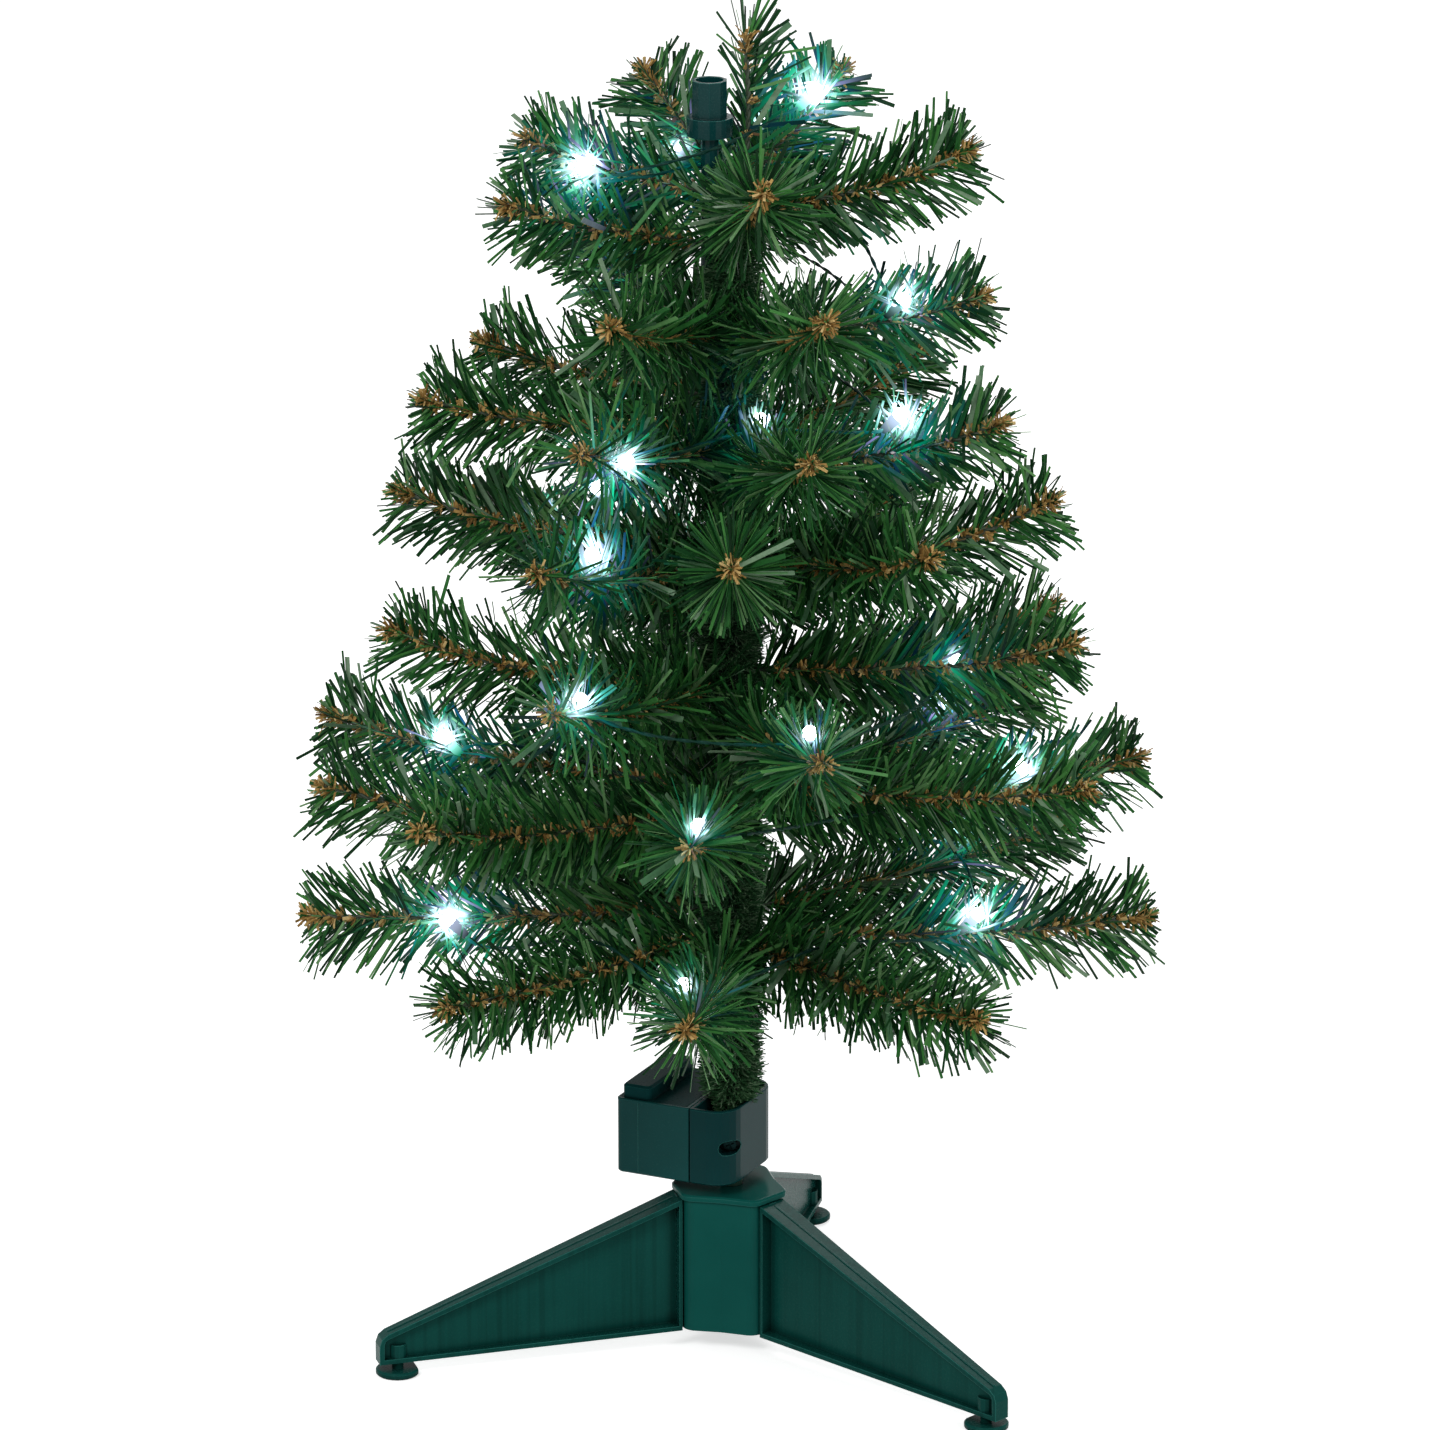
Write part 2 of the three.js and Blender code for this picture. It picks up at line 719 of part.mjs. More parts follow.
// The straight hole of the wire through the walls of housing and clamp, in the frame of the box
function wireHole() {
  const back = THREE.MathUtils.degToRad(-boxTurn);
  const [from, to] = wireStart.slice(0, 2).map(([x, y, z]) => {
    return new THREE.Vector3(x, y, z).applyAxisAngle(new THREE.Vector3(0, 0, 1), back);
  });
  const along = to.clone().sub(from).normalize();
  const hole = post(0, 0, wireRadius + 2 * fit, 0, from.distanceTo(to) + overrun, smallSteps);
  return aimed(hole, from.addScaledVector(along, -overrun), along);
}

function bottomCover() {
  const inset = boxWall + fit;
  let solid = prism(housingOutline(inset), boxBottom, boxBottom + plateThickness);
  const postReach = boardDepth / 2 - boardPostRadius;
  for (const y of [bayMiddle - postReach, bayMiddle + postReach]) {
    const x = (bayLeft + bayRight) / 2;
    const top = boxBottom + plateThickness + boardRise - fit;
    solid = solid.add(post(x, y, boardPostRadius, boxBottom + plateThickness - boxEdge, top, smallSteps));
  }
  for (const [x, y] of screwPlaces) {
    solid = solid.subtract(post(x, y, screwShankRadius + fit, boxBottom - overrun, boxTop, smallSteps));
    const sink = boxBottom + screwHeadHeight;
    solid = solid.subtract(post(x, y, screwHeadRadius + fit, boxBottom - overrun, sink, smallSteps));
  }
  return solid;
}

// A cross-head screw that points along +Z, with its head's outer face at zero
function screw(headRadius, headHeight, shankRadius, length) {
  const profile = [
    [0, 0],
    [headRadius, 0],
    [headRadius, headHeight],
    [shankRadius, headHeight],
    [shankRadius, length - shankRadius],
    [0, length],
  ];
  const arm = headRadius / 2 + crossWidth;
  const half = crossWidth / 2;
  const depth = headHeight / 2;
  return turned(profile, smallSteps)
    .subtract(block(-arm, arm, -half, half, -overrun, depth))
    .subtract(block(-half, half, -arm, arm, -overrun, depth));
}

function batteryCover() {
  const front = bayFront + slideFit;
  const rear = bayRear - slideFit;
  const lid = block(boxLeft, bayRight - slideFit, front, rear, coverBottom, coverBottom + coverThickness);
  const outline = (inset) => {
    const [x0, y0] = [boxLeft + gripInset + inset, boxFront + gripInset + inset];
    const [x1, y1] = [boxLeft + gripInset + gripWidth - inset, boxRear - gripInset - inset];
    return roundedRectangle(x0, x1, y0, y1, Array(4).fill(Math.max(gripCornerRadius - inset, gripEdge / 2)));
  };
  const gripTop = boxTop + gripRise;
  const grip = bevelledPrism(outline, coverBottom, gripTop, gripEdge);
  return lid.add(grip).subtract(prism(outline(gripWall), coverBottom - overrun, gripTop - gripWall));
}

function cell(index) {
  const x = bayLeft + cellPitch * (index + 1) - cellRadius;
  const bodyLength = cellLength - cellNubLength;
  const profile = [
    [0, 0],
    [cellRadius - padEdge, 0],
    [cellRadius, padEdge],
    [cellRadius, bodyLength - padEdge],
    [cellRadius - padEdge, bodyLength],
    [cellNubRadius, bodyLength],
    [cellNubRadius, cellLength],
    [0, cellLength],
  ];
  const flip = index % 2 === 0 ? 1 : -1;
  const start = bayMiddle - (flip * cellLength) / 2;
  const place = new THREE.Vector3(x, start, cellHeight);
  return aimed(turned(profile, smallSteps), place, new THREE.Vector3(0, flip, 0));
}

// A contact strip behind the ends of the cells, with a pressed dimple for each
function contact(side) {
  const wall = side < 0 ? bayFront : bayRear;
  const face = wall - side * (fit + contactThickness);
  const y0 = Math.min(wall - side * fit, face);
  const y1 = Math.max(wall - side * fit, face);
  const z0 = deckTop + fit;
  let solid = block(bayLeft + contactInset, bayRight - contactInset, y0, y1, z0, z0 + contactHeight);
  for (let i = 0; i < cellCount; i += 1) {
    const x = bayLeft + cellPitch * (i + 1) - cellRadius;
    const dimple = post(0, 0, contactBossRadius, -contactThickness / 2, contactBossHeight, smallSteps);
    const place = new THREE.Vector3(x, face, cellHeight - fit);
    solid = solid.add(aimed(dimple, place, new THREE.Vector3(0, -side, 0)));
  }
  return solid;
}

function circuitBoard() {
  const x = (bayLeft + bayRight) / 2;
  const z0 = boardTop - boardThickness;
  const half = boardWidth / 2;
  const front = bayMiddle - boardDepth / 2;
  const board = block(x - half, x + half, front, front + boardDepth, z0, boardTop);
  const chipFront = front + chipInset;
  const chip = block(x, x + chipLength, chipFront, chipFront + chipWidth, z0, boardTop + chipHeight);
  return board.add(chip);
}

function switchBody() {
  const half = switchBodyLength / 2;
  const z0 = boardTop + fit;
  const z1 = boardTop + switchBodyHeight;
  const body = block(switchLeft, switchLeft + switchBodyWidth, bayMiddle - half, bayMiddle + half, z0, z1);
  const mouthHalf = (knobLength + switchTravel) / 2 + slideFit;
  const middle = boardTop + switchBodyHeight / 2;
  const mouthHigh = knobHeight / 2 + fit / 2;
  const mouth = block(
    switchLeft - overrun,
    switchLeft + switchBodyWidth / 2,
    bayMiddle - mouthHalf,
    bayMiddle + mouthHalf,
    middle - mouthHigh,
    middle + mouthHigh,
  );
  return body.subtract(mouth);
}

function switchKnob() {
  const x1 = switchLeft + switchBodyWidth / 2 - fit;
  const x0 = boxLeft - knobReach;
  const y0 = bayMiddle - switchTravel / 2 - knobLength / 2;
  const z = boardTop + switchBodyHeight / 2;
  const half = knobHeight / 2 - fit / 2;
  let solid = block(x0, x1, y0, y0 + knobLength, z - half, z + half);
  for (const share of knobRibShares) {
    const y = y0 + knobLength * share - knobRibWidth / 2;
    solid = solid.add(block(x0 - knobRibHeight, x0 + overrun, y, y + knobRibWidth, z - half, z + half));
  }
  return solid;
}

// Pole clamp
function clampOutline(inset) {
  const radius = Math.max(clampCornerRadius - inset, boxEdge);
  const radii = [boxEdge, radius, radius, boxEdge];
  const x0 = clampLeft + (inset > boxEdge ? inset : 0);
  return roundedRectangle(x0, boxRight - inset, boxFront + inset, boxRear - inset, radii);
}

const clampScrewZ = boxBottom + boxHeight / 2;
const clampScrewWay = new THREE.Vector3(
  Math.cos(THREE.MathUtils.degToRad(clampScrewAngle)),
  Math.sin(THREE.MathUtils.degToRad(clampScrewAngle)),
  0,
);
const clampCornerX = boxRight - clampCornerRadius;
const clampCornerY = boxFront + clampCornerRadius;
// How far the rounded corner lies from the pole's axis along the screw
const clampScrewStart =
  clampCornerX * clampScrewWay.x +
  clampCornerY * clampScrewWay.y +
  Math.sqrt(clampCornerRadius ** 2 - (clampCornerX * clampScrewWay.y - clampCornerY * clampScrewWay.x) ** 2);
const clampScrewSeat = clampScrewStart - clampScrewRecessDepth;

// The oblong way in to the clamping screw, wider across than it is high
function screwRecess() {
  const spread = clampScrewRecessSpread;
  const radius = clampScrewRecessRadius;
  const depth = clampScrewRecessDepth + clampCornerRadius;
  const ends = [-spread, spread].map((side) => post(0, side, radius, 0, depth, smallSteps));
  return joined([...ends, block(-radius, radius, -spread, spread, 0, depth)]).rotate([0, 0, clampScrewAngle]);
}

function poleClamp() {
  const outer = edgedPrism(clampOutline, boxBottom, boxTop, boxEdge, boxTopEdge);
  const recess = prism(clampOutline(recessWall), recessBottom, boxTop + overrun);
  let solid = outer.subtract(recess).subtract(post(0, 0, poleBore, boxBottom - overrun, boxTop));
  const inward = clampScrewWay.clone().negate();
  const shankLength = clampScrewSeat - poleRadius + overrun;
  const bore = post(0, 0, clampScrewRadius + fit, -overrun, shankLength, smallSteps);
  const sink = screwRecess();
  const seat = clampScrewWay.clone().multiplyScalar(clampScrewSeat).setZ(clampScrewZ);
  solid = solid.subtract(aimed(bore, seat, inward)).subtract(aimed(sink, seat, clampScrewWay));
  solid = solid.add(prism(dovetail(0), boxBottom + plateThickness + fit, deckBottom - 2 * fit));
  return solid.subtract(wireHole());
}

function clampScrew() {
  const length = clampScrewSeat + clampScrewHeadHeight - poleRadius;
  const solid = screw(clampScrewHeadRadius, clampScrewHeadHeight, clampScrewRadius, length);
  const reach = clampScrewSeat + clampScrewHeadHeight + fit;
  const start = clampScrewWay.clone().multiplyScalar(reach).setZ(clampScrewZ);
  return aimed(solid, start, clampScrewWay.clone().negate());
}

addPiece(box, "battery_housing", batteryHousing(), "boxPlastic");
addPiece(box, "battery_cover", batteryCover(), "boxPlastic");
addPiece(box, "bottom_cover", bottomCover(), "boxPlastic");
screwPlaces.forEach(([x, y], i) => {
  const solid = screw(screwHeadRadius, screwHeadHeight - fit, screwShankRadius, screwLength);
  addPiece(box, `cover_screw_${i + 1}`, solid.translate([x, y, boxBottom]), "steel");
});
addPiece(box, "pole_clamp", poleClamp(), "boxPlastic");
addPiece(box, "clamp_screw", clampScrew(), "steel");
addPiece(box, "circuit_board", circuitBoard(), "board");
addPiece(box, "switch_body", switchBody(), "steel");
addPiece(box, "switch_knob", switchKnob(), "black");
for (let i = 0; i < cellCount; i += 1) {
  addPiece(box, `cell_${i + 1}`, cell(i), "cell");
}
addPiece(box, "contact_front", contact(-1), "steel");
addPiece(box, "contact_rear", contact(1), "steel");

// Pole
const poleProfile = [
  [poleRadius - poleWall, poleBottom],
  [poleRadius, poleBottom],
  [poleRadius, poleTop],
  [poleRadius - poleWall, poleTop],
  [poleRadius - poleWall, poleBottom],
];
addPiece(tree, "pole", turned(poleProfile), "greenPole");

// Topper socket
function topperSocket() {
  const collarTop = topperCollarBottom + topperCollarHeight;
  const stem = post(0, 0, topperStemRadius, topperStemBottom, topperCollarBottom + overrun, smallSteps);
  const collar = post(0, 0, topperCollarRadius, topperCollarBottom, collarTop);
  const tube = post(0, 0, topperTubeRadius, collarTop - overrun, topperTop, topperTubeSides);
  const bore = post(0, 0, topperBoreRadius, topperCollarBottom + topperFloor, topperTop + overrun);
  return stem.add(collar).add(tube).subtract(bore).translate([topperX, 0, 0]);
}
addPiece(tree, "topper_socket", topperSocket(), "boxPlastic");

// Light string: the curve that the wire follows, and where its lamps stand
const wireRoute = [
  ...wireStart.map(([x, y, z]) => [x, y, z, 0]),
  ...wireRouteShares.map(([x, y, z, lamp]) => [foliageRadius * x, foliageRadius * y, treeHeight * z, lamp]),
];
const wirePoints = wireRoute.map(([x, y, z]) => new THREE.Vector3(x, y, z));
const wireSteps = wireStepsPerPoint * (wirePoints.length - 1);

// The wire is stepped evenly from point to point of its route, so that it passes through each lamp's holder
class WireCurve extends THREE.CatmullRomCurve3 {
  getUtoTmapping(u) {
    return u;
  }
}
const wireCurve = new WireCurve(wirePoints, false, "centripetal");

// Each lamp points away from the pole and a little up
const lamps = wireRoute
  .filter(([, , , lamp]) => lamp === 1)
  .map(([x, y, z]) => ({
    place: new THREE.Vector3(x, y, z),
    way: new THREE.Vector3(x, y, Math.hypot(x, y)).normalize(),
  }));

function holder() {
  const profile = [
    [0, -wireRadius],
    [holderNeckRadius, -wireRadius],
    [holderRadius, holderLength / 2],
    [holderRadius, holderLength],
    [holderRadius - holderWall, holderLength],
    [holderRadius - holderWall, holderLength - holderCup],
    [0, holderLength - holderCup],
  ];
  return turned(profile, lampSides);
}

function bulb() {
  const start = holderLength - holderCup + fit;
  const profile = [
    [0, start],
    [bulbRadius, start],
    [bulbRadius, start + bulbReach - bulbRadius],
    [bulbRadius * Math.SQRT1_2, start + bulbReach - bulbRadius * (1 - Math.SQRT1_2)],
    [0, start + bulbReach],
  ];
  return turned(profile, lampSides);
}

function lightString() {
  const section = new THREE.Shape(
    Array.from({ length: wireSides }, (_, k) => {
      const angle = (2 * Math.PI * k) / wireSides;
      return new THREE.Vector2(wireRadius * Math.cos(angle), wireRadius * Math.sin(angle));
    }),
  );
  const options = { steps: wireSteps, extrudePath: wireCurve, bevelEnabled: false };
  const wire = asSolid(new THREE.ExtrudeGeometry(section, options));
  return joined([wire, ...lamps.map(({ place, way }) => aimed(holder(), place, way))]);
}
addPiece(tree, "light_string", lightString(), "wire");
lamps.forEach(({ place, way }, i) => {
  const number = String(i + 1).padStart(2, "0");
  addPiece(tree, `lamp_${number}`, aimed(bulb(), place, way), "lamp");
});

// Branch stems: each leaves the trunk, beside the topper's stem where that is in the way, dips and rises
function stemCurve([, azimuth, reachShare, rootShare, tipShare]) {
  const reach = foliageRadius * reachShare - stemShortfall;
  const root = garlandTop * rootShare;
  const tip = treeHeight * tipShare;
  const isBeside = root > topperStemBottom - stemRootRadius && Math.abs(azimuth) > besideTopperAngle;
  const rootAzimuth = isBeside ? Math.sign(azimuth) * besideTopperAngle : azimuth;
  const dip = (stemDip * reach) / foliageRadius;
  const at = (degrees, radius, z) => {
    const angle = THREE.MathUtils.degToRad(degrees);
    return new THREE.Vector3(radius * Math.cos(angle), radius * Math.sin(angle), z);
  };
  const knees = stemKneeShares.map((share, i) => {
    return at(azimuth, reach * share, root + (tip - root) * stemRiseShares[i] - dip);
  });
  const start = at(rootAzimuth, stemRootReach, root);
  return new THREE.CatmullRomCurve3([start, ...knees, at(azimuth, reach, tip)]);
}

const leaderCurve = new THREE.CatmullRomCurve3([
  new THREE.Vector3(leaderReach, 0, garlandTop - garlandRibRadius),
  new THREE.Vector3(leaderReach + stemTipRadius, 0, (garlandTop + leaderTip) / 2),
  new THREE.Vector3(leaderReach, 0, leaderTip),
]);

const stems = branchShares.map((row) => ({ tier: row[0], curve: stemCurve(row) }));
stems.push({ tier: 3, curve: leaderCurve });

// The rings of a stem: its root, the two edges of each whorl's band, and its tip
for (const stem of stems) {
  const band = strandWidth / 2 / stem.curve.getLength();
  const edges = whorlShares.flatMap((share) => [share - band, share + band]);
  stem.shares = [0, ...edges, 1];
  stem.points = stem.shares.map((share) => stem.curve.getPoint(share));
}

// Things that a strand keeps clear of, as segments with a radius
const obstacles = [];
function addObstacles(points, radius, owner) {
  for (let i = 0; i + 1 < points.length; i += 1) {
    obstacles.push({ from: points[i], to: points[i + 1], radius, owner });
  }
}
stems.forEach((stem, i) => addObstacles(stem.points, stemRootRadius, i));
addObstacles(wireCurve.getPoints(wireSteps), wireRadius, -1);
for (const { place, way } of lamps) {
  addObstacles([place, place.clone().addScaledVector(way, holderLength + bulbReach)], holderRadius, -1);
}
addObstacles([new THREE.Vector3(0, 0, 0), new THREE.Vector3(0, 0, garlandTop)], garlandRibRadius, -1);
const topperFoot = new THREE.Vector3(topperX, 0, topperStemBottom);
addObstacles([topperFoot, new THREE.Vector3(topperX, 0, treeHeight)], topperCollarRadius, -1);

// Least distance between two segments
function segmentGap(a0, a1, b0, b1) {
  const u = a1.clone().sub(a0);
  const v = b1.clone().sub(b0);
  const w = a0.clone().sub(b0);
  const uu = u.dot(u);
  const uv = u.dot(v);
  const vv = v.dot(v);
  const uw = u.dot(w);
  const vw = v.dot(w);
  const det = uu * vv - uv * uv;
  let s = det > 0 ? THREE.MathUtils.clamp((uv * vw - vv * uw) / det, 0, 1) : 0;
  const t = THREE.MathUtils.clamp((uv * s + vw) / vv, 0, 1);
  s = THREE.MathUtils.clamp((uv * t - uw) / uu, 0, 1);
  return a0.clone().addScaledVector(u, s).distanceTo(b0.clone().addScaledVector(v, t));
}

function isClear(from, to, owner) {
  if (to.z < lowestStrand || to.z > treeHeight) {
    return false;
  }
  return obstacles.every((thing) => {
    if (thing.owner === owner) {
      return true;
    }
    const gap = segmentGap(from, to, thing.from, thing.to);
    return gap > thing.radius + strandWidth / 2 + strandClearance;
  });
}

// The sides of a stem at a share of its length, turned by a roll about it
function stemFrame(stem, share, roll) {
  const along = stem.curve.getTangent(share).normalize();
  const level = new THREE.Vector3(-along.y, along.x, 0);
  const side = level.length() < steepStem ? new THREE.Vector3(1, 0, 0) : level;
  const first = side.clone().addScaledVector(along, -side.dot(along)).normalize();
  const outs = Array.from({ length: stemSides }, (_, k) => {
    return first.clone().applyAxisAngle(along, roll + (2 * Math.PI * k) / stemSides);
  });
  return { along, outs, radius: THREE.MathUtils.lerp(stemRootRadius, stemTipRadius, share) };
}

// The strands of one whorl at a roll: each leaves the middle of a side and leans forward
function whorlStrands(stem, share, roll) {
  const { along, outs, radius } = stemFrame(stem, share, roll + Math.PI / stemSides);
  const lean = THREE.MathUtils.degToRad(strandLean);
  const middle = stem.curve.getPoint(share);
  return outs.map((out) => {
    const way = along.clone().multiplyScalar(Math.cos(lean)).addScaledVector(out, Math.sin(lean));
    const from = middle.clone().addScaledVector(out, radius / 2);
    return { from, to: from.clone().addScaledVector(way, strandLength) };
  });
}

// A whorl is turned on until all its strands are clear, or else as many as can be. The rest stay away.
function placeWhorl(stem, owner, share, index) {
  let best = { roll: 0, strands: [] };
  for (let tried = 0; tried < rollTries; tried += 1) {
    const turn = (index + owner) * spiralTurn + (tried * 360) / rollTries;
    const roll = THREE.MathUtils.degToRad(turn);
    const strands = whorlStrands(stem, share, roll).map((strand) => {
      return isClear(strand.from, strand.to, owner) ? strand : null;
    });
    const count = strands.filter(Boolean).length;
    if (tried === 0 || count > best.strands.filter(Boolean).length) {
      best = { roll, strands };
    }
    if (count === stemSides) {
      break;
    }
  }
  return best;
}

function keepClearOf(strand, owner) {
  if (strand) {
    obstacles.push({ ...strand, radius: strandWidth / 2, owner: owner + stems.length });
  }
}

function placeStrands(stem, owner) {
  stem.whorls = whorlShares.map((share, index) => {
    const whorl = placeWhorl(stem, owner, share, index);
    whorl.strands.forEach((strand) => keepClearOf(strand, owner));
    return whorl;
  });
  const from = stem.curve.getPoint(1);
  const way = stem.curve.getTangent(1).normalize();
  const to = from.clone().addScaledVector(way, strandLength * lastStrandShare);
  stem.last = isClear(from, to, owner) ? { from, to } : null;
  keepClearOf(stem.last, owner);
}

// A branch is one skin: its stem's rings joined by sides, with each strand drawn out of a side
function branch(stem) {
  const points = [];
  const faces = [];
  const frames = stem.shares.map((share, i) => {
    const whorl = stem.whorls[Math.min(Math.floor(Math.max(i - 1, 0) / 2), whorlShares.length - 1)];
    return stemFrame(stem, share, whorl.roll);
  });
  const rings = frames.map(({ outs, radius }, i) => {
    return outs.map((out) => points.push(stem.points[i].clone().addScaledVector(out, radius).toArray()) - 1);
  });
  const place = (index) => new THREE.Vector3(...points[index]);

  // Closes a ring of corners with a face, or with a strand that ends in a smaller copy of it
  const close = (corners, strand) => {
    let end = corners;
    if (strand) {
      const middle = corners.reduce((sum, index) => sum.add(place(index)), new THREE.Vector3());
      middle.divideScalar(corners.length);
      const reach = strand.to.clone().sub(strand.from);
      end = corners.map((index) => {
        const corner = place(index).sub(middle).multiplyScalar(strandTipShare).add(middle).add(reach);
        return points.push(corner.toArray()) - 1;
      });
      corners.forEach((corner, k) => {
        const next = (k + 1) % corners.length;
        faces.push([corner, corners[next], end[next]], [corner, end[next], end[k]]);
      });
    }
    for (let k = 1; k + 1 < end.length; k += 1) {
      faces.push([end[0], end[k], end[k + 1]]);
    }
  };

  // Each ring is joined to the next by the smallest turn, and the sides are split to suit its direction
  const sideTurn = (2 * Math.PI) / stemSides;
  for (let i = 0; i + 1 < rings.length; i += 1) {
    const whorl = i % 2 === 1 ? stem.whorls[(i - 1) / 2] : null;
    const [here, there] = [frames[i].outs[0], frames[i + 1].outs[0]];
    const turn = Math.atan2(here.clone().cross(there).dot(frames[i].along), here.dot(there));
    const sidesTurned = Math.round(turn / sideTurn);
    const far = rings[i + 1].map((_, k) => rings[i + 1][(k + stemSides - sidesTurned) % stemSides]);
    const isCrossed = turn > sidesTurned * sideTurn;
    for (let k = 0; k < stemSides; k += 1) {
      const next = (k + 1) % stemSides;
      const side = [rings[i][k], rings[i][next], far[next], far[k]];
      close(isCrossed ? [...side.slice(1), side[0]] : side, whorl && whorl.strands[k]);
    }
  }
  close([...rings[0]].reverse(), null);
  close(rings[rings.length - 1], stem.last);
  return asSolid(facedGeometry(points, faces));
}

// A slice of the trunk's garland between two heights, ribbed outside
function garlandSlice(z0, z1, first) {
  const outer = [];
  const start = first ? z0 + garlandNeckHeight : z0;
  const ribs = Math.max(1, Math.round((z1 - start) / garlandPitch));
  const pitch = (z1 - start) / ribs;
  if (first) {
    outer.push([garlandNeckRadius, z0], [garlandNeckRadius, start]);
  }
  for (let i = 0; i < ribs; i += 1) {
    outer.push([garlandRootRadius, start + i * pitch], [garlandRibRadius, start + (i + 0.5) * pitch]);
  }
  outer.push([garlandRootRadius, z1]);
  return turned([[0, z0], ...outer, [0, z1]], garlandSides);
}

stems.forEach(placeStrands);
const tierHeights = [garlandBottom, ...tierSplitShares.map((share) => treeHeight * share), garlandTop];
const poleWay = post(0, 0, poleBore, garlandBottom - overrun, poleTop + fit);
const topperWay = post(topperX, 0, topperStemRadius + fit, topperStemBottom - fit, treeHeight, smallSteps);
for (let tier = 0; tier + 1 < tierHeights.length; tier += 1) {
  const solids = [garlandSlice(tierHeights[tier], tierHeights[tier + 1] - fit, tier === 0)];
  solids.push(...stems.filter((stem) => stem.tier === tier).map(branch));
  addPiece(tree, `foliage_tier_${tier + 1}`, joined(solids).subtract(poleWay).subtract(topperWay), "foliage");
}

export default tree;
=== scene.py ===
import math
from collections import namedtuple
import bpy
import numpy as np
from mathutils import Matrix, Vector


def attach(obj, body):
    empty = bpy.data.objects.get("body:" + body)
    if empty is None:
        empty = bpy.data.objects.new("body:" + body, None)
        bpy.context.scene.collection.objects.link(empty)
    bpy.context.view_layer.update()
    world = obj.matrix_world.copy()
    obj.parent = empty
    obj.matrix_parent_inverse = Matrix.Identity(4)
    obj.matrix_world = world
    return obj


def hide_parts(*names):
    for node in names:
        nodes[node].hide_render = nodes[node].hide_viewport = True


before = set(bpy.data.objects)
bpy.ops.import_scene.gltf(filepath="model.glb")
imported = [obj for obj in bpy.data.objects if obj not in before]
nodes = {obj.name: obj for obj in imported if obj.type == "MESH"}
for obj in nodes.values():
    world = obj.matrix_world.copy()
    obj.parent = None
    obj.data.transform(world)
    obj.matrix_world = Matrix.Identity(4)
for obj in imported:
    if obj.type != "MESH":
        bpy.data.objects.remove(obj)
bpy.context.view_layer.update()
MM = 0.001

# Camera and light
# Worked out from the feet, the pole and the battery box in the photograph, in its pixels and in metres
PHOTO_SIZE = 1430
CAMERA_TILT = math.radians(17.2)
camera_data = bpy.data.cameras.new("camera")
camera_data.lens = 204.57
camera_data.sensor_width = 36.0
camera_data.shift_x = -16 / PHOTO_SIZE
camera_data.shift_y = -3 / PHOTO_SIZE
camera_data.clip_end = 20
camera = bpy.data.objects.new("camera", camera_data)
camera.location = (0, -3.4, 1.346)
camera.rotation_euler = (math.radians(90) - CAMERA_TILT, 0, 0)
bpy.context.collection.objects.link(camera)
bpy.context.scene.camera = camera
bpy.context.scene.view_settings.view_transform = "Standard"


def area_light(name, place, target, size, power):
    data = bpy.data.lights.new(name, "AREA")
    data.shape = "DISK"
    data.size = size
    data.energy = power
    lamp = bpy.data.objects.new(name, data)
    lamp.location = place
    lamp.rotation_euler = (Vector(target) - Vector(place)).to_track_quat("-Z", "Y").to_euler()
    bpy.context.collection.objects.link(lamp)


area_light("key", (-1.3, -2.2, 2.3), (0, 0, 0.3), 1.1, 42)
area_light("fill", (2.1, -1.7, 1.2), (0, 0, 0.3), 1.3, 20)
area_light("rim", (0.6, 2.2, 1.9), (0, 0, 0.35), 1.1, 22)


def node_tree(material):
    material.use_nodes = True
    tree = material.node_tree
    tree.nodes.clear()
    return tree


def shown_white(tree):
    """One for the rays that show the background: seen by the camera, mirrored, or let through."""
    path = tree.nodes.new("ShaderNodeLightPath")
    share = path.outputs["Is Camera Ray"]
    for kind in ("Is Glossy Ray", "Is Transmission Ray"):
        either = tree.nodes.new("ShaderNodeMath")
        either.operation = "MAXIMUM"
        tree.links.new(share, either.inputs[0])
        tree.links.new(path.outputs[kind], either.inputs[1])
        share = either.outputs[0]
    return share


def white_world():
    """A plain dim sky that shows as white."""
    world = bpy.data.worlds.new("studio")
    world.use_nodes = True
    tree = world.node_tree
    tree.nodes.clear()
    out = tree.nodes.new("ShaderNodeOutputWorld")
    mix = tree.nodes.new("ShaderNodeMixShader")
    tree.links.new(shown_white(tree), mix.inputs[0])
    for slot, strength in ((1, 0.4), (2, 1)):
        sky = tree.nodes.new("ShaderNodeBackground")
        sky.inputs["Color"].default_value = (1, 1, 1, 1)
        sky.inputs["Strength"].default_value = strength
        tree.links.new(sky.outputs[0], mix.inputs[slot])
    tree.links.new(mix.outputs[0], out.inputs["Surface"])
    bpy.context.scene.world = world


white_world()


